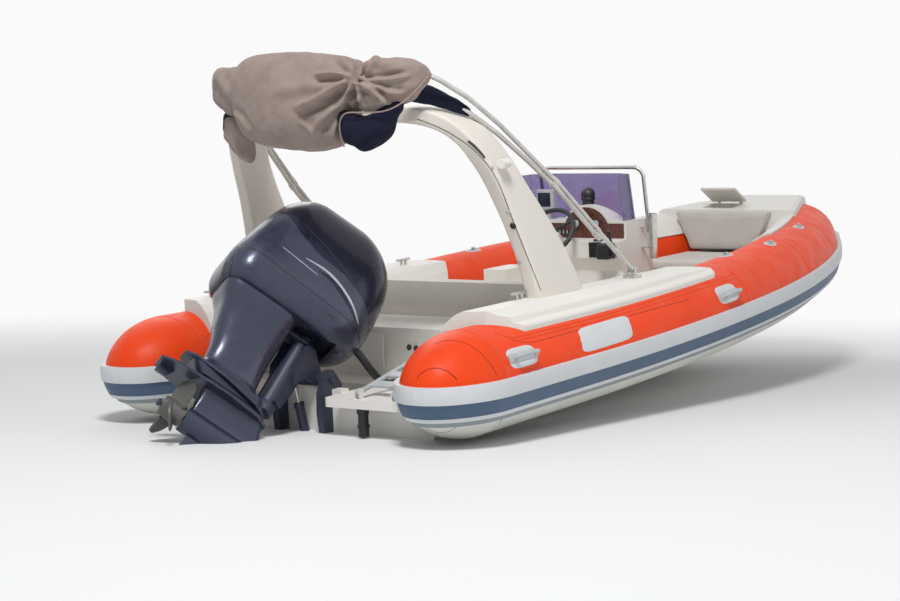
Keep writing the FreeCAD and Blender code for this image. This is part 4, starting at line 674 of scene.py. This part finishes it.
# ---------------------------------------------------------------- collar trim
def tube_centre(y):
    """Middle of the starboard tube at station y, in boat millimetres."""
    x = TUBE_X
    if y > BEND_Y:
        t = min(1.0, (y - BEND_Y) / (BOW_Y - BEND_Y))
        x = TUBE_X * max(0.0, 1.0 - t ** PLAN_EXPONENT) ** (1.0 / PLAN_EXPONENT)
    rise = SHEER_RISE * (max(0.0, y - SHEER_Y) / (BOW_Y - SHEER_Y)) ** SHEER_EXPONENT
    return Vector((x, y, TUBE_Z + rise))


def on_tube(y, angle, side):
    """Place on the tube at station y and angle (radians from outboard), with the directions out, round and
    along the tube there, in the row frame; side is 1 for starboard and -1 for port."""
    ahead, behind = min(y + TUBE_STEP, BOW_Y - 0.5), min(y, BOW_Y - 0.5 - TUBE_STEP) - TUBE_STEP
    along = (tube_centre(ahead) - tube_centre(behind)).normalized()
    level = along.cross(Vector((0, 0, 1))).normalized()
    up = level.cross(along)
    out = level * math.cos(angle) + up * math.sin(angle)
    place = tube_centre(y) + out * TUBE_R
    around = up * math.cos(angle) - level * math.sin(angle)
    for direction in (place, out, around, along):
        direction.x *= side
    return BOAT @ place, TURN @ out, TURN @ around, TURN @ along


def patch(name, tree, y, angle, half_length, half_width, finish, side, thick, power, lean=0.0):
    """Raised pad on the tube at station y and angle from outboard; a rounded rectangle or, at power 1, an oval."""
    # share of the half widths, and share of the thickness there
    profile = ((0.0, 1.0), (0.45, 1.0), (0.8, 1.0), (0.93, 0.92), (0.985, 0.55), (1.0, 0.05))
    around = 44
    points = []
    for r, h in profile:
        for a in angles(around):
            c, s = squared(a, power)
            across = s * half_width * r
            station = y + c * half_length * r + lean * across
            place, out, _, _ = on_tube(station, math.radians(angle) + across / TUBE_R, side)
            points.append(on_skin(tree, place, -out, thick * h * MM))
    return mesh_object(name, points, tube_faces(len(profile), around, False, False), finish, ROW)


def tape(name, tree, places, width, thick, finish):
    """Thin glued strip along places on the collar, each with the directions out of it and across the strip."""
    points = []
    for place, out, across in places:
        for k, lift in ((-0.5, 2 * EDGE_LIFT), (-0.48, thick), (0.48, thick), (0.5, 2 * EDGE_LIFT)):
            points.append(on_skin(tree, place + across * width * k, -out, lift))
    return mesh_object(name, points, grid_faces(len(places), 4), finish, ROW)


def ring_tape(name, tree, y, first, last, width, finish, side, thick=0.0011):
    """Seam tape round the tube at station y, between two angles from outboard in degrees."""
    count = max(8, int(abs(last - first) / 4))
    places = []
    for k in range(count + 1):
        place, out, _, along = on_tube(y, math.radians(first + (last - first) * k / count), side)
        places.append((place, out, along))
    return tape(name, tree, places, width, thick, finish)


def long_tape(name, tree, first, last, angle_of, width, finish, side, thick=0.0016, step=60.0):
    """Seam tape along the tube between two stations, at angle_of(y) degrees from outboard."""
    count = int(abs(last - first) / step)
    places = []
    for k in range(count + 1):
        y = first + (last - first) * k / count
        places.append(on_tube(y, math.radians(angle_of(y)), side)[:3])
    return tape(name, tree, places, width, thick, finish)


# glue lines of the end caps, and painted shade along the fold beside the deck's lip: name, points in the picture,
# width, finish
GLUE_LINES_AND_FOLD_SHADE = (
    ("cap_line_inner", ((417, 379), (420.4, 374), (428.6, 369.3), (437.8, 368.3), (445.9, 370.8), (453.1, 375.9),
                        (457, 380)), 6.0, "collar_line"),
    ("cap_line_outer", ((434, 344), (445.9, 340.5), (457.1, 341), (469.4, 345), (481.6, 354), (490.8, 365),
                        (496.9, 375)), 5.0, "collar_line"),
    # painted shade: a darker orange strip where the fabric folds beside the deck's lip
    ("lip_fold", ((494, 333), (507, 337), (517, 341), (527, 342.5), (538, 341), (560, 335), (600, 324), (650, 310),
                  (690, 299)), 4.0, "collar_line"),
    ("belly_line_cap", ((418, 419), (424, 426), (431.6, 431), (439.8, 432.5), (448, 431.5), (455, 428), (461, 422)),
     5.0, "strake_dark"),
    ("belly_line_seam", ((503, 411), (502, 418), (499, 425)), 5.0, "strake_dark"),
)


class RIB_OT_collar_trim(bpy.types.Operator):
    """Glued seam tapes, piping lines and blank badge patches on the tubes"""

    bl_idname = "rib.collar_trim"
    bl_label = "Collar trim"

    def execute(self, context):
        tree = skin_tree("tube_upper", "tube_lower")
        width = context.scene.rib_sizes.seam_tape
        for side, word in SIDES:
            for i, (y, last) in enumerate(((-168.0, 150.0), (2480.0, 62.0), (3560.0, 128.0), (4420.0, 128.0))):
                ring_tape("seam_ring_%s_%d" % (word, i), tree, y, 10.0, last, width, "collar", side)
                ring_tape("seam_ring_under_%s_%d" % (word, i), tree, y, -36.0, -82.0, width, "belly", side)
            for i, shift in enumerate((0.0, 5.0)):
                long_tape("seam_line_%s_%d" % (word, i), tree, 40.0, 2460.0,
                          lambda y, s=shift: 46.0 - 3.0 * (y - 40.0) / 2460.0 + s, 0.007, "collar", side)
        for side, word in SIDES:
            # plain white panel and the pads under the lacing eyes and handles
            patch("blank_panel_" + word, tree, 835.0, 27.0, 265.0, 66.0, "strake_white", side, 1.4, 0.3, 0.35)
            for i, (y, angle) in enumerate(((2800.0, 95.0), (3380.0, 77.0), (4180.0, 77.0))):
                patch("eye_pad_%s_%d" % (word, i), tree, y, angle, 66.0, 36.0, "strake_white", side, 2.2, 0.85)
            for i, y in enumerate((10.0, 2230.0)):
                if side > 0 or i:
                    patch("handle_pad_%s_%d" % (word, i), tree, y, 27.0, 124.0, 52.0, "strake_white", side, 3.0, 0.5)
        for name, marks, width, finish in GLUE_LINES_AND_FOLD_SHADE:
            seam(name, tree, marks, width, finish, count=30)
        return {"FINISHED"}


# ---------------------------------------------------------------- arch
# how square its section is (0 square, 1 round), and how far its faces are crowned, in millimetres
ARCH_SQUARENESS, ARCH_CROWN = 0.28, 5.0
ARCH_ROWS = (
    # centre x, y, z, chord fore and aft, thickness (boat millimetres)
    (905, 792, 596, 440, 98), (868, 665, 880, 335, 90), (822, 530, 1130, 250, 86), (775, 412, 1330, 218, 84),
    (700, 305, 1480, 208, 84), (560, 225, 1562, 205, 84), (300, 175, 1590, 205, 80), (0, 165, 1596, 205, 78),
)


class RIB_OT_arch(bpy.types.Operator):
    """Moulded arch in one fair curve, with its flange line, bolts, and painted shade in its wiring slot"""

    bl_idname = "rib.arch"
    bl_label = "Arch"

    def execute(self, context):
        count, around, foot = 150, 48, 8
        path = spline(ARCH_ROWS + tuple((-r[0],) + r[1:] for r in reversed(ARCH_ROWS[:-1])), count)
        points = []
        for i, row in enumerate(path):
            t = Vector(path[min(i + 1, count - 1)][:3]) - Vector(path[max(i - 1, 0)][:3])
            near = min(i, count - 1 - i) / foot
            if near < 1:
                # the feet's sections lie level on the deck
                t = Vector((0, 0, 1 if i < foot else -1)) * t.length * (1 - near) + t * near
            t.normalize()
            fore = (Vector((0, 1, 0)) - t * t.y).normalized()
            side = t.cross(fore).normalized()
            for a in angles(around, 0.5):
                fa, sb = squared(a, ARCH_SQUARENESS)
                crown = math.copysign(ARCH_CROWN * (1 - fa ** 2), sb)
                points.append(Vector(row[:3]) + fore * fa * row[3] / 2 + side * (sb * row[4] / 2 + crown))
        arch = mesh_object("arch_moulding", points, tube_faces(count, around), "arch")
        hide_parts("arch")
        tree = skin_tree(arch)
        seam("arch_flange_line", tree, ((541, 291), (515, 226), (497, 180), (476, 152), (446, 131), (417, 119)), 5.0,
             "shadow", 0.0006)
        # the wiring slot is a flat dark strip on the skin: painted shade in the opening
        seam("arch_slot", tree, ((468, 141), (474, 146), (480, 152), (485, 158)), 15.0, "shadow", 0.0012, count=16)
        for i, (u, v, radius, finish) in enumerate(((508, 212, 9.0, "grey"), (513, 226, 14.0, "black"),
                                                    (492, 168, 9.0, "grey"), (520, 262, 9.0, "grey"))):
            bolt("arch_bolt_%d" % i, *spot(tree, u, v), radius, finish)
        return {"FINISHED"}


# ---------------------------------------------------------------- rigging hose
# middle of the hose, from the cowling's starboard front corner into the stern well (boat millimetres)
HOSE_ROUTE = (
    (150, 6, 430), (176, 22, 392), (206, 40, 344), (232, 62, 290), (250, 100, 240), (258, 158, 209),
    (260, 222, 208),
)


class RIB_OT_rigging_hose(bpy.types.Operator):
    """Hose that carries the engine's cables and fuel line into the hull"""

    bl_idname = "rib.rigging_hose"
    bl_label = "Rigging hose"

    def execute(self, context):
        hose = round_bar("rigging_hose_cover", HOSE_ROUTE, 20.5, "black")
        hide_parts("rigging_hose")
        return {"FINISHED"}


# ---------------------------------------------------------------- canopy boot
# sections of the rolled cloths: x, centre y, centre z, half depth, half height (boat millimetres)
BOOT_ROWS = (
    (-352, -150, 1694, 24, 40), (-335, -165, 1709, 85, 125), (-300, -178, 1694, 108, 168),
    (-262, -187, 1683, 122, 200), (-199, -190, 1682, 134, 219), (-58, -192, 1671, 146, 237),
    (86, -195, 1662, 150, 243), (190, -195, 1657, 146, 239), (287, -193, 1662, 138, 221),
    (335, -191, 1682, 130, 192), (365, -190, 1722, 124, 142), (405, -190, 1732, 114, 122),
    (451, -190, 1716, 104, 108), (500, -190, 1722, 116, 122), (571, -180, 1731, 112, 130),
    (631, -165, 1745, 104, 116), (677, -140, 1752, 92, 97), (709, -120, 1759, 74, 74), (739, -90, 1772, 42, 40),
    (752, -68, 1771, 12, 12),
)
PORT_SLEEVE = (
    (-310, -175, 1722, 84, 112), (-391, -150, 1724, 96, 121), (-464, -110, 1732, 92, 114),
    (-547, -62, 1742, 80, 100), (-609, 0, 1756, 62, 72), (-648, 60, 1765, 46, 50), (-664, 92, 1768, 20, 22),
)
PORT_TAIL = (
    (-492, -120, 1540, 10, 20), (-473, -122, 1529, 34, 61), (-430, -130, 1514, 46, 96), (-375, -140, 1495, 54, 119),
    (-329, -150, 1475, 52, 114), (-307, -150, 1450, 36, 88), (-298, -150, 1432, 12, 46),
)
LINING_ROWS = (
    (340, -215, 1556, 24, 40), (366, -228, 1546, 70, 78), (420, -230, 1518, 86, 84), (474, -226, 1502, 90, 88),
    (524, -220, 1512, 86, 84), (574, -212, 1548, 74, 72), (620, -200, 1588, 52, 52), (654, -192, 1618, 28, 28),
    (664, -190, 1626, 8, 8),
)
SECOND_BOW_SLEEVE = (
    (512, -20, 1700, 24, 34), (560, 62, 1684, 34, 46), (602, 152, 1668, 36, 46), (650, 240, 1628, 34, 40),
    (690, 312, 1590, 27, 28), (704, 338, 1574, 17, 17),
)
# the boot's lower hem
HEM = (
    (388, -292, 1440), (382, -312, 1500), (386, -322, 1560), (414, -318, 1606), (472, -306, 1606),
    (547, -298, 1602), (633, -278, 1606), (694, -232, 1640), (738, -170, 1700), (757, -92, 1764),
)
# where the tie gathers the boot's folds
KNOT = (548.0, -300.0, 1764.0)
GATHER_X = 470.0
# end x, end z, depth and width of each fold that runs to the tie
DRAPES = (
    (235, 1806, 32, 13), (110, 1622, 50, 17), (170, 1450, 30, 16), (280, 1430, 22, 12), (392, 1600, 34, 12),
    (640, 1640, 28, 12), (700, 1690, 26, 12), (745, 1765, 24, 11), (640, 1850, 26, 11), (560, 1875, 22, 10),
    (-60, 1700, 10, 30), (340, 1885, 18, 12), (590, 1700, 20, 9), (520, 1640, 22, 9),
)
# start x, z, end x, z and depth of the swags that hang free between the drapes
SWAGS = (
    (-250, 1500, 60, 1430, 7), (-300, 1640, -160, 1480, 9), (140, 1560, 330, 1500, 10), (560, 1650, 700, 1730, 12),
    (600, 1700, 720, 1790, 10), (520, 1850, 660, 1830, 12),
)


def cloth_surface(table, rows, across, grow):
    """Grid of a rolled cloth's skin: points and outward directions, before folding."""
    path = spline(table, rows)
    turns = np.linspace(0, 2 * math.pi, across, endpoint=False)
    # sections are a little squarer than an ellipse
    ry, rz = (np.sign(q) * np.abs(q) ** 0.82 for q in (np.cos(turns), np.sin(turns)))
    x = np.repeat(path[:, 0:1], across, 1)
    y = path[:, 1:2] + (path[:, 3:4] + grow) * ry
    z = path[:, 2:3] + (path[:, 4:5] + grow) * rz
    points = np.stack([x, y, z], 2)
    out = np.cross((np.roll(points, -1, 1) - np.roll(points, 1, 1)) / 2, np.gradient(points, axis=0))
    out = out / np.maximum(np.linalg.norm(out, axis=2, keepdims=True), 1e-6)
    flip = np.sum(out * (points - path[:, None, 0:3]), axis=2, keepdims=True) < 0
    return points, np.where(flip, -out, out)


def crease(points, start, end, depth, width, wander, phase):
    """Height of one fold: a ridge along start-end with a valley beside it, fading at both ends."""
    a, b = np.array(start, float), np.array(end, float)
    length = np.linalg.norm(b - a)
    d = (b - a) / length
    rel = points - a
    t = rel @ d
    normal = np.array([-d[2], 0.0, d[0]]) if abs(d[1]) < 0.9 else np.array([1.0, 0, 0])
    side = rel @ normal + wander * np.sin(t / length * 5.0 + phase)
    fade = np.clip(t / (0.18 * length), 0, 1) * np.clip((length - t) / (0.3 * length), 0, 1)
    fade = fade * fade * (3 - 2 * fade)
    return fade * depth * (np.exp(-(side / width) ** 2) - 0.75 * np.exp(-((side - 1.9 * width) / (1.3 * width)) ** 2))


def fold_height(points):
    """Folds of the gathered boot, in millimetres: drapes that run to the tie, and a taut round belly."""
    x, y, z = points[..., 0], points[..., 1], points[..., 2]
    aft = np.clip((-170.0 - y) / 60.0, 0.0, 1.0)
    height = np.zeros(x.shape)
    for k, (end_x, end_z, depth, width) in enumerate(DRAPES):
        height += aft * crease(points, (GATHER_X,) + KNOT[1:], (end_x, -330.0, end_z), depth, width, 10.0, k * 1.7)
    for k, (x0, z0, x1, z1, depth) in enumerate(SWAGS):
        height += aft * crease(points, (x0, -320, z0), (x1, -330, z1), depth, 16.0, 14.0, k * 2.3)
    # the waist at the tie, pulled in most on top
    waist = np.exp(-((x - 462.0 - 0.2 * (z - 1720.0)) / 26.0) ** 2)
    height -= 36.0 * waist * (0.55 + 0.45 * np.clip((z - 1660.0) / 120.0, 0, 1))
    ripple = np.sin(np.arctan2(z - 1700.0, y + 190.0) * 15.0 + x / 70.0)
    height += 6.0 * ripple * np.exp(-((x - 500.0) / 90.0) ** 2)
    # crumple, stronger towards the loose starboard end
    loose = np.clip((x - 380.0) / 200.0, 0.12, 1.0)
    height += loose * 6.0 * np.sin(x / 37.0 + z / 41.0) * np.sin(z / 31.0 - y / 41.0 + x / 83.0)
    return height + 1.2 * np.sin(x / 17.0 - z / 23.0) * np.sin(z / 15.0 + y / 19.0)


def crumple(size, pitch):
    """Folds of a loose roll: their height and their spacing, in millimetres."""
    def height(points):
        x, y, z = points[..., 0], points[..., 1], points[..., 2]
        long_folds = np.sin((z + 0.35 * x) / pitch * 1.7 + 1.3 * np.sin(x / 60.0)) * np.cos(y / 70.0)
        short_folds = np.sin(x / (pitch * 0.6) - z / pitch) * np.sin(y / pitch + z / 51.0)
        return size * (0.65 * long_folds + 0.35 * short_folds)
    return height


def rolled_cloth(name, table, finish, folds, rows=70, across=72, grow=0.0):
    """Closed roll of cloth along a table of sections, with its own folds, which fade out at its ends."""
    points, out = cloth_surface(table, rows, across, grow)
    ends = np.clip(np.minimum(np.arange(rows), rows - 1 - np.arange(rows)) / (rows * 0.06), 0, 1)[:, None]
    skin = points + out * (folds(points) * ends)[..., None]
    return mesh_object(name, skin.reshape(-1, 3), tube_faces(rows, across), finish, body="canopy")


class RIB_OT_canopy_boot(bpy.types.Operator):
    """Folded sun canopy in its taupe boot, gathered by a tie, with the navy lining showing below"""

    bl_idname = "rib.canopy_boot"
    bl_label = "Canopy boot"

    def execute(self, context):
        boot = rolled_cloth("canopy_boot_cloth", BOOT_ROWS, "cloth", fold_height, 230, 200)
        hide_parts("canopy_boot")
        rolled_cloth("boot_port_sleeve", PORT_SLEEVE, "cloth", crumple(11.0, 34.0))
        rolled_cloth("boot_port_tail", PORT_TAIL, "cloth", crumple(10.0, 30.0))
        inner = rolled_cloth("boot_port_lining", PORT_TAIL, "lining", crumple(5.0, 30.0), 40, 40, -6.0)
        inner.data.transform(Matrix.Translation((-0.022, 0.012, 0.03)))
        rolled_cloth("boot_lining_fold", LINING_ROWS, "lining", crumple(13.0, 36.0))
        rolled_cloth("second_bow_sleeve", SECOND_BOW_SLEEVE, "lining", crumple(5.0, 24.0))
        round_bar("boot_hem", HEM, 3.6, "cloth", "canopy")
        turns = [math.radians(25.0 * k - 100.0) for k in range(11)]
        gather = [(KNOT[0] - 76 + 8 * math.sin(a), -190 - 96 * math.cos(a), 1716 + 100 * math.sin(a)) for a in turns]
        round_bar("boot_tie", gather, 3.2, "cloth", "canopy")
        return {"FINISHED"}


# ---------------------------------------------------------------- cushions
CUSHION_BEVEL = 0.012
# width over which a pad's crown falls to its edges, how far its sides bulge, and its sewn channels, in millimetres
SHOULDER, BULGE = 60.0, 6.0
CHANNEL_DEPTH, CHANNEL_WIDTH = 10.0, 9.0


def cushion_block(name, low, high, crown=14.0, channels=()):
    """Crowned seat pad between two corners (boat millimetres), with rounded edges and sewn channels."""
    counts = (52, 26, 8)
    points, faces, index = [], [], {}

    def vertex(key):
        if key not in index:
            u = [k / count for k, count in zip(key, counts)]
            x, y, z = (a + (b - a) * share for a, b, share in zip(low, high, u))
            edge = min(min(u[k], 1 - u[k]) * (high[k] - low[k]) for k in (0, 1))
            if key[2] == counts[2]:
                z -= crown * max(0.0, 1 - edge / SHOULDER) ** 2
                z -= sum(CHANNEL_DEPTH * math.exp(-((y - c) / CHANNEL_WIDTH) ** 2) for c in channels)
            # the sides reach their full width halfway up
            inset = BULGE * (1 - math.sin(math.pi * u[2]))
            x += inset * ((key[0] == 0) - (key[0] == counts[0]))
            y += inset * ((key[1] == 0) - (key[1] == counts[1]))
            index[key] = len(points)
            points.append((x, y, z))
        return index[key]

    for fixed, p, q in ((2, 0, 1), (1, 2, 0), (0, 1, 2)):
        for level in (0, counts[fixed]):
            for i in range(counts[p]):
                for j in range(counts[q]):
                    corners = []
                    for a, b in ((i, j), (i + 1, j), (i + 1, j + 1), (i, j + 1)):
                        key = [level] * 3
                        key[p], key[q] = a, b
                        corners.append(vertex(tuple(key)))
                    faces.append(corners)
    obj = mesh_object(name, points, faces, "vinyl")
    bevelled(obj, CUSHION_BEVEL, 40.0)
    return obj


def apply_modifier(obj, kind, **settings):
    """Put a modifier on the active object and make it part of the mesh."""
    mod = obj.modifiers.new("step", kind)
    for name, value in settings.items():
        setattr(mod, name, value)
    bpy.ops.object.modifier_apply(modifier=mod.name)


def foam_cover(name, node, voxel):
    """Padded cover over a plain foam block: remeshed, blown up a little as cloth, then smoothed."""
    obj = bpy.data.objects.new(name, NODES[node].data.copy())
    bpy.context.scene.collection.objects.link(obj)
    obj.data.materials.clear()
    obj.data.materials.append(MATERIALS["vinyl"])
    bpy.ops.object.select_all(action="DESELECT")
    obj.select_set(True)
    bpy.context.view_layer.objects.active = obj
    apply_modifier(obj, "REMESH", mode="VOXEL", voxel_size=voxel)
    apply_modifier(obj, "SMOOTH", factor=0.6, iterations=8)
    vertices = obj.data.vertices
    start = [v.co.copy() for v in vertices]
    for v, normal in zip(vertices, [v.normal.copy() for v in vertices]):
        v.co -= normal * COVER_SHRINK
    cloth = obj.modifiers.new("cloth", "CLOTH")
    cloth.settings.use_pressure = True
    cloth.settings.uniform_pressure_force = COVER_PRESSURE
    cloth.settings.effector_weights.gravity = 0.0
    for step in range(1, COVER_STEPS + 1):
        bpy.context.scene.frame_set(step)
    shaped = obj.evaluated_get(bpy.context.evaluated_depsgraph_get())
    blown = [v.co.copy() for v in shaped.data.vertices]
    obj.modifiers.remove(cloth)
    bpy.context.scene.frame_set(1)
    for v, a, b in zip(vertices, start, blown):
        move = b - a
        v.co = a + (move if move.length <= COVER_CAP else move.normalized() * COVER_CAP)
    apply_modifier(obj, "SMOOTH", factor=0.5, iterations=3)
    obj.data.shade_smooth()
    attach(obj, "boat")
    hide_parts(node)


class RIB_OT_cushions(bpy.types.Operator):
    """Bench and bow cushions: crowned vinyl pads with sewn channels"""

    bl_idname = "rib.cushions"
    bl_label = "Cushions"

    def execute(self, context):
        pad = cushion_block("bench_seat_pad", (-640, 995, 400.5), (640, 1440, 490), channels=(1140.0, 1290.0))
        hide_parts("bench_cushion")
        rest = cushion_block("bench_back_pad", (-640, 905, 490.5), (640, 1030, 655), crown=8.0)
        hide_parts("bench_backrest")
        foam_cover("bow_back_pad", "bow_backrest", 0.010)
        foam_cover("bow_seat_pad", "bow_cushion", 0.012)
        return {"FINISHED"}


# ---------------------------------------------------------------- outboard engine
LEG_ROWS = (
    # z, front y, rear y, half width, squareness (engine millimetres)
    (-143, -84, -507, 171, 0.42), (-176, -86, -494, 163, 0.44), (-230, -88, -463, 142, 0.5),
    (-285, -90, -444, 122, 0.56), (-340, -92, -428, 107, 0.6), (-400, -91, -406, 93, 0.62),
    (-460, -88, -389, 84, 0.62), (-510, -83, -384, 79, 0.6), (-548, -77, -384, 79, 0.56),
    (-572, -58, -404, 86, 0.5), (-588, -41, -428, 91, 0.46),
)
# lines on both sides of the engine: name, skin that they lie on, (y, z) points in engine millimetres, widths along
# them, finish, lift in metres, rows of points
STRIPES = (
    ("stripe_silver", "cowl", ((-232, 131), (-98, 136), (32, 91), (165, 7)), (3, 12, 15, 13, 6), "silver", 0.0008, 40),
    ("stripe_dark", "cowl", ((-150, 112), (-60, 108), (40, 66), (140, 2)), (2, 18, 30, 22, 4), "cap", 0.0008, 40),
    ("stripe_fine", "cowl", ((-362, 106), (-250, 97), (-140, 87)), (3, 5, 3), "silver", 0.0008, 40),
    ("shadow_gap", "cowl", ((-545, 11), (-300, -2), (0, -17), (230, -30)), (6, 6), "black", 0.0003, 60),
    ("casing_seam", "leg", ((-436, -395), (-358, -349), (-237, -360), (-131, -395)), (3, 4, 4, 3), "bracket",
     0.0006, 40),
    ("cap_seam", "cowl", ((-330, 300), (-180, 262), (0, 190), (150, 110), (262, 48)), (4, 5, 5, 5, 4), "black",
     0.0003, 60),
    ("leg_cover_edge", "leg", ((-248, -498), (-170, -505), (-94, -528), (-108, -575), (-126, -582)), (3, 3),
     "bracket", 0.0006, 40),
)


def skin_stripe(name, tree, marks, widths, side, finish, lift, count):
    """Stripe of changing width laid on the engine's skin along local (y, z) points, met from one side."""
    line = spline(marks, count)
    aim = (ENGINE.to_3x3() @ Vector((-side, 0, 0))).normalized()
    points = []
    for i, (y, z) in enumerate(line):
        dy, dz = line[min(count - 1, i + 1)] - line[max(0, i - 1)]
        length = math.hypot(dy, dz)
        half = float(np.interp(i / (count - 1), np.linspace(0, 1, len(widths)), widths)) / 2.0
        for k, h in ((-1.0, EDGE_LIFT), (-0.8, lift), (0.0, lift), (0.8, lift), (1.0, EDGE_LIFT)):
            start = ENGINE @ Vector((side * COWL_OUTSIDE, y - dz / length * half * k, z + dy / length * half * k))
            hit, normal, _, _ = tree.ray_cast(start, aim, 0.6)
            if hit:
                points.append(hit + towards(normal, aim) * h)
            else:
                # past the skin's edge the stripe stays where it was
                points.append(points[-1] if points else ENGINE @ Vector((side * COWL_HALF, y, z)))
    return mesh_object(name, points, grid_faces(count, 5), finish, ROW, "engine")


def leg_cover(name, rows, count=90, around=96):
    """Smooth apron of the leg: rounded sections joined by a fair curve, in the engine's frame."""
    points = []
    for z, front, rear, half, square in spline(rows, count):
        for a in angles(around):
            c, s = squared(a, square)
            points.append((c * half, (front + rear) / 2 + s * (front - rear) / 2, z))
    return mesh_object(name, points, tube_faces(count, around), "engine", ENGINE, "engine")


class RIB_OT_engine_trim(bpy.types.Operator):
    """Smooth leg, silver stripes, shadow gaps and latches of the outboard"""

    bl_idname = "rib.engine_trim"
    bl_label = "Engine trim"

    def execute(self, context):
        cowl = skin_tree("cowl_cap", "cowl_side", "cowl_lower")
        apron = leg_cover("leg_apron", LEG_ROWS)
        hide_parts("midsection")
        skins = {"cowl": cowl, "leg": skin_tree(apron)}
        for word, z0, z1 in (("upper", -168.0, -142.6), ("lower", -606.0, -566.0)):
            soft_box("leg_mount_" + word, (-50, -128, z0), (50, -8, z1), "bracket", 5.0, "engine", ENGINE)
            ring = ((30, z0), (50, z0 + 0.5), (52, z0 + 4), (52, z1 + 12), (50, z1 + 15), (30, z1 + 15))
            lathe("leg_mount_ring_" + word, ring, (0, 0, 0), (0, 0, 1), "bracket", "engine", matrix=ENGINE)
        # the grab recess is a flat black strip on the cowl: painted shade in the hollow, with its rim in the cap's
        # lacquer
        seam("grab_recess", cowl, ((226, 262), (223, 270), (222, 279), (226, 288)), 30.0, "black", 0.001,
             "engine", 20)
        seam("grab_recess_rim", cowl, ((232, 257), (231, 268), (229, 280), (231, 292)), 5.0, "cap", 0.0022,
             "engine", 20)
        for i, (u, v, wide, half) in enumerate(((331, 316, 15.0, 2.5), (252, 268, 18.0, 2.0))):
            marks = ((u - half, v - 2), (u, v), (u + half, v + 2))
            seam("cowl_latch_%d" % i, cowl, marks, wide, "black", 0.0014, "engine", 8)
        for side, word in SIDES:
            for name, skin, marks, widths, finish, lift, count in STRIPES:
                skin_stripe("%s_%s" % (name, word), skins[skin], marks, widths, side, finish, lift, count)
        return {"FINISHED"}


# ---------------------------------------------------------------- helm
GAUGE_BEZEL = ((30, 0), (31, 3), (30, 5), (26, 5.5), (25, 3.2), (24.5, 3))
GAUGE_FACE = ((25.4, 3.0), (25.4, 3.3), (0.2, 3.4))
COMPASS_DOME = ((38, 0), (43.5, 6), (44, 14), (41, 18), (41.5, 22), (43, 34), (40, 50), (32, 63), (20, 71), (8, 74.5),
                (0.5, 75))
WHEEL_CAP = ((34, 0), (33, 5), (26, 9), (12, 11), (0.4, 11.5))
# the steering column's direction, towards the helmsman's place, and the middle of the wheel
COLUMN = Vector((0, -0.819, 0.574))
WHEEL_CENTRE = Vector((20, 2225, 805))
# station of the dash panel's face
DASH_Y = 2407.7


class RIB_OT_helm(bpy.types.Operator):
    """Gauges, compass, plotter face, wheel cap and switches at the console, and painted shade in the well's drain
    holes
    """

    bl_idname = "rib.helm"
    bl_label = "Helm"

    def execute(self, context):
        for i, (x, z) in enumerate(((92, 838), (160, 880), (228, 838))):
            lathe("gauge_bezel_%d" % i, GAUGE_BEZEL, (x, DASH_Y, z), (0, -1, 0), "black", close=False)
            lathe("gauge_face_%d" % i, GAUGE_FACE, (x, DASH_Y, z), (0, -1, 0), "plotter")
            soft_box("gauge_needle_%d" % i, (x - 1, DASH_Y - 4.6, z - 3), (x + 1, DASH_Y - 4, z + 20), "black", 0.3)
        for i in range(6):
            x = -110 + i * 26
            soft_box("switch_plate_%d" % i, (x, DASH_Y + 1.5, 772), (x + 20, DASH_Y + 6, 804), "black", 1.2)
            soft_box("switch_rocker_%d" % i, (x + 4, DASH_Y - 2.5, 777), (x + 16, DASH_Y + 3, 799), "grey", 1.5)
        lathe("compass_dome", COMPASS_DOME, (128, 2505, 972), (0, 0, 1), "black")
        soft_box("plotter_screen", (-224, 2481.5, 918), (-116, 2485.6, 1030), "plotter", 1.6)
        soft_box("plotter_glass", (-214, 2480.4, 934), (-126, 2482, 1020), "cap", 0.6)
        console = skin_tree("console", "dash_panel")
        seam("switch_board", console, ((598.5, 239), (596.5, 247), (594.5, 256)), 60.0, "bracket", 0.003, count=12)
        for row in range(5):
            for column in (-1, 1):
                place, normal = spot(console, 598.0 - 0.8 * row + 2.3 * column, 241.0 + 3.4 * row + 0.5 * column)
                bolt("switch_%d_%d" % (row, column + 1), place + normal * 0.004, normal, 7.0,
                     "grey" if row % 2 else "black")
        well = skin_tree("bench_box", "hull", "swim_platforms")
        # the drains are flat dark discs: painted shade in the drain holes
        for i, (u, v) in enumerate(((409.2, 347.3), (416.0, 348.4))):
            bolt("drain_%d" % i, *spot(well, u, v), 13.0, "shadow", height=0.05)
        lathe("wheel_hub_cap", WHEEL_CAP, WHEEL_CENTRE + COLUMN * 12.0, COLUMN, "black", "steering_wheel")
        return {"FINISHED"}


# ---------------------------------------------------------------- panel and registration
OPERATORS = (RIB_OT_stage, RIB_OT_rigging_hose, RIB_OT_finishes, RIB_OT_collar_trim, RIB_OT_arch, RIB_OT_canopy_boot,
             RIB_OT_cushions, RIB_OT_engine_trim, RIB_OT_helm)


class RIB_PT_panel(bpy.types.Panel):
    """Steps that dress the boat"""

    bl_idname = "RIB_PT_panel"
    bl_label = "RIB boat"
    bl_space_type = "VIEW_3D"
    bl_region_type = "UI"
    bl_category = "RIB boat"

    def draw(self, context):
        for operator in OPERATORS:
            self.layout.operator(operator.bl_idname)
        for group in (context.scene.rib_colours, context.scene.rib_sizes):
            for name in group.__annotations__:
                self.layout.prop(group, name)


CLASSES = (RibColours, RibSizes) + OPERATORS + (RIB_PT_panel,)


def register():
    for cls in CLASSES:
        bpy.utils.register_class(cls)
    bpy.types.Scene.rib_colours = bpy.props.PointerProperty(type=RibColours)
    bpy.types.Scene.rib_sizes = bpy.props.PointerProperty(type=RibSizes)


def unregister():
    del bpy.types.Scene.rib_sizes
    del bpy.types.Scene.rib_colours
    for cls in reversed(CLASSES):
        bpy.utils.unregister_class(cls)


def main():
    register()
    build_materials()
    for operator in OPERATORS:
        group, name = operator.bl_idname.split(".")
        getattr(getattr(bpy.ops, group), name)()


if __name__ == "__main__":
    main()
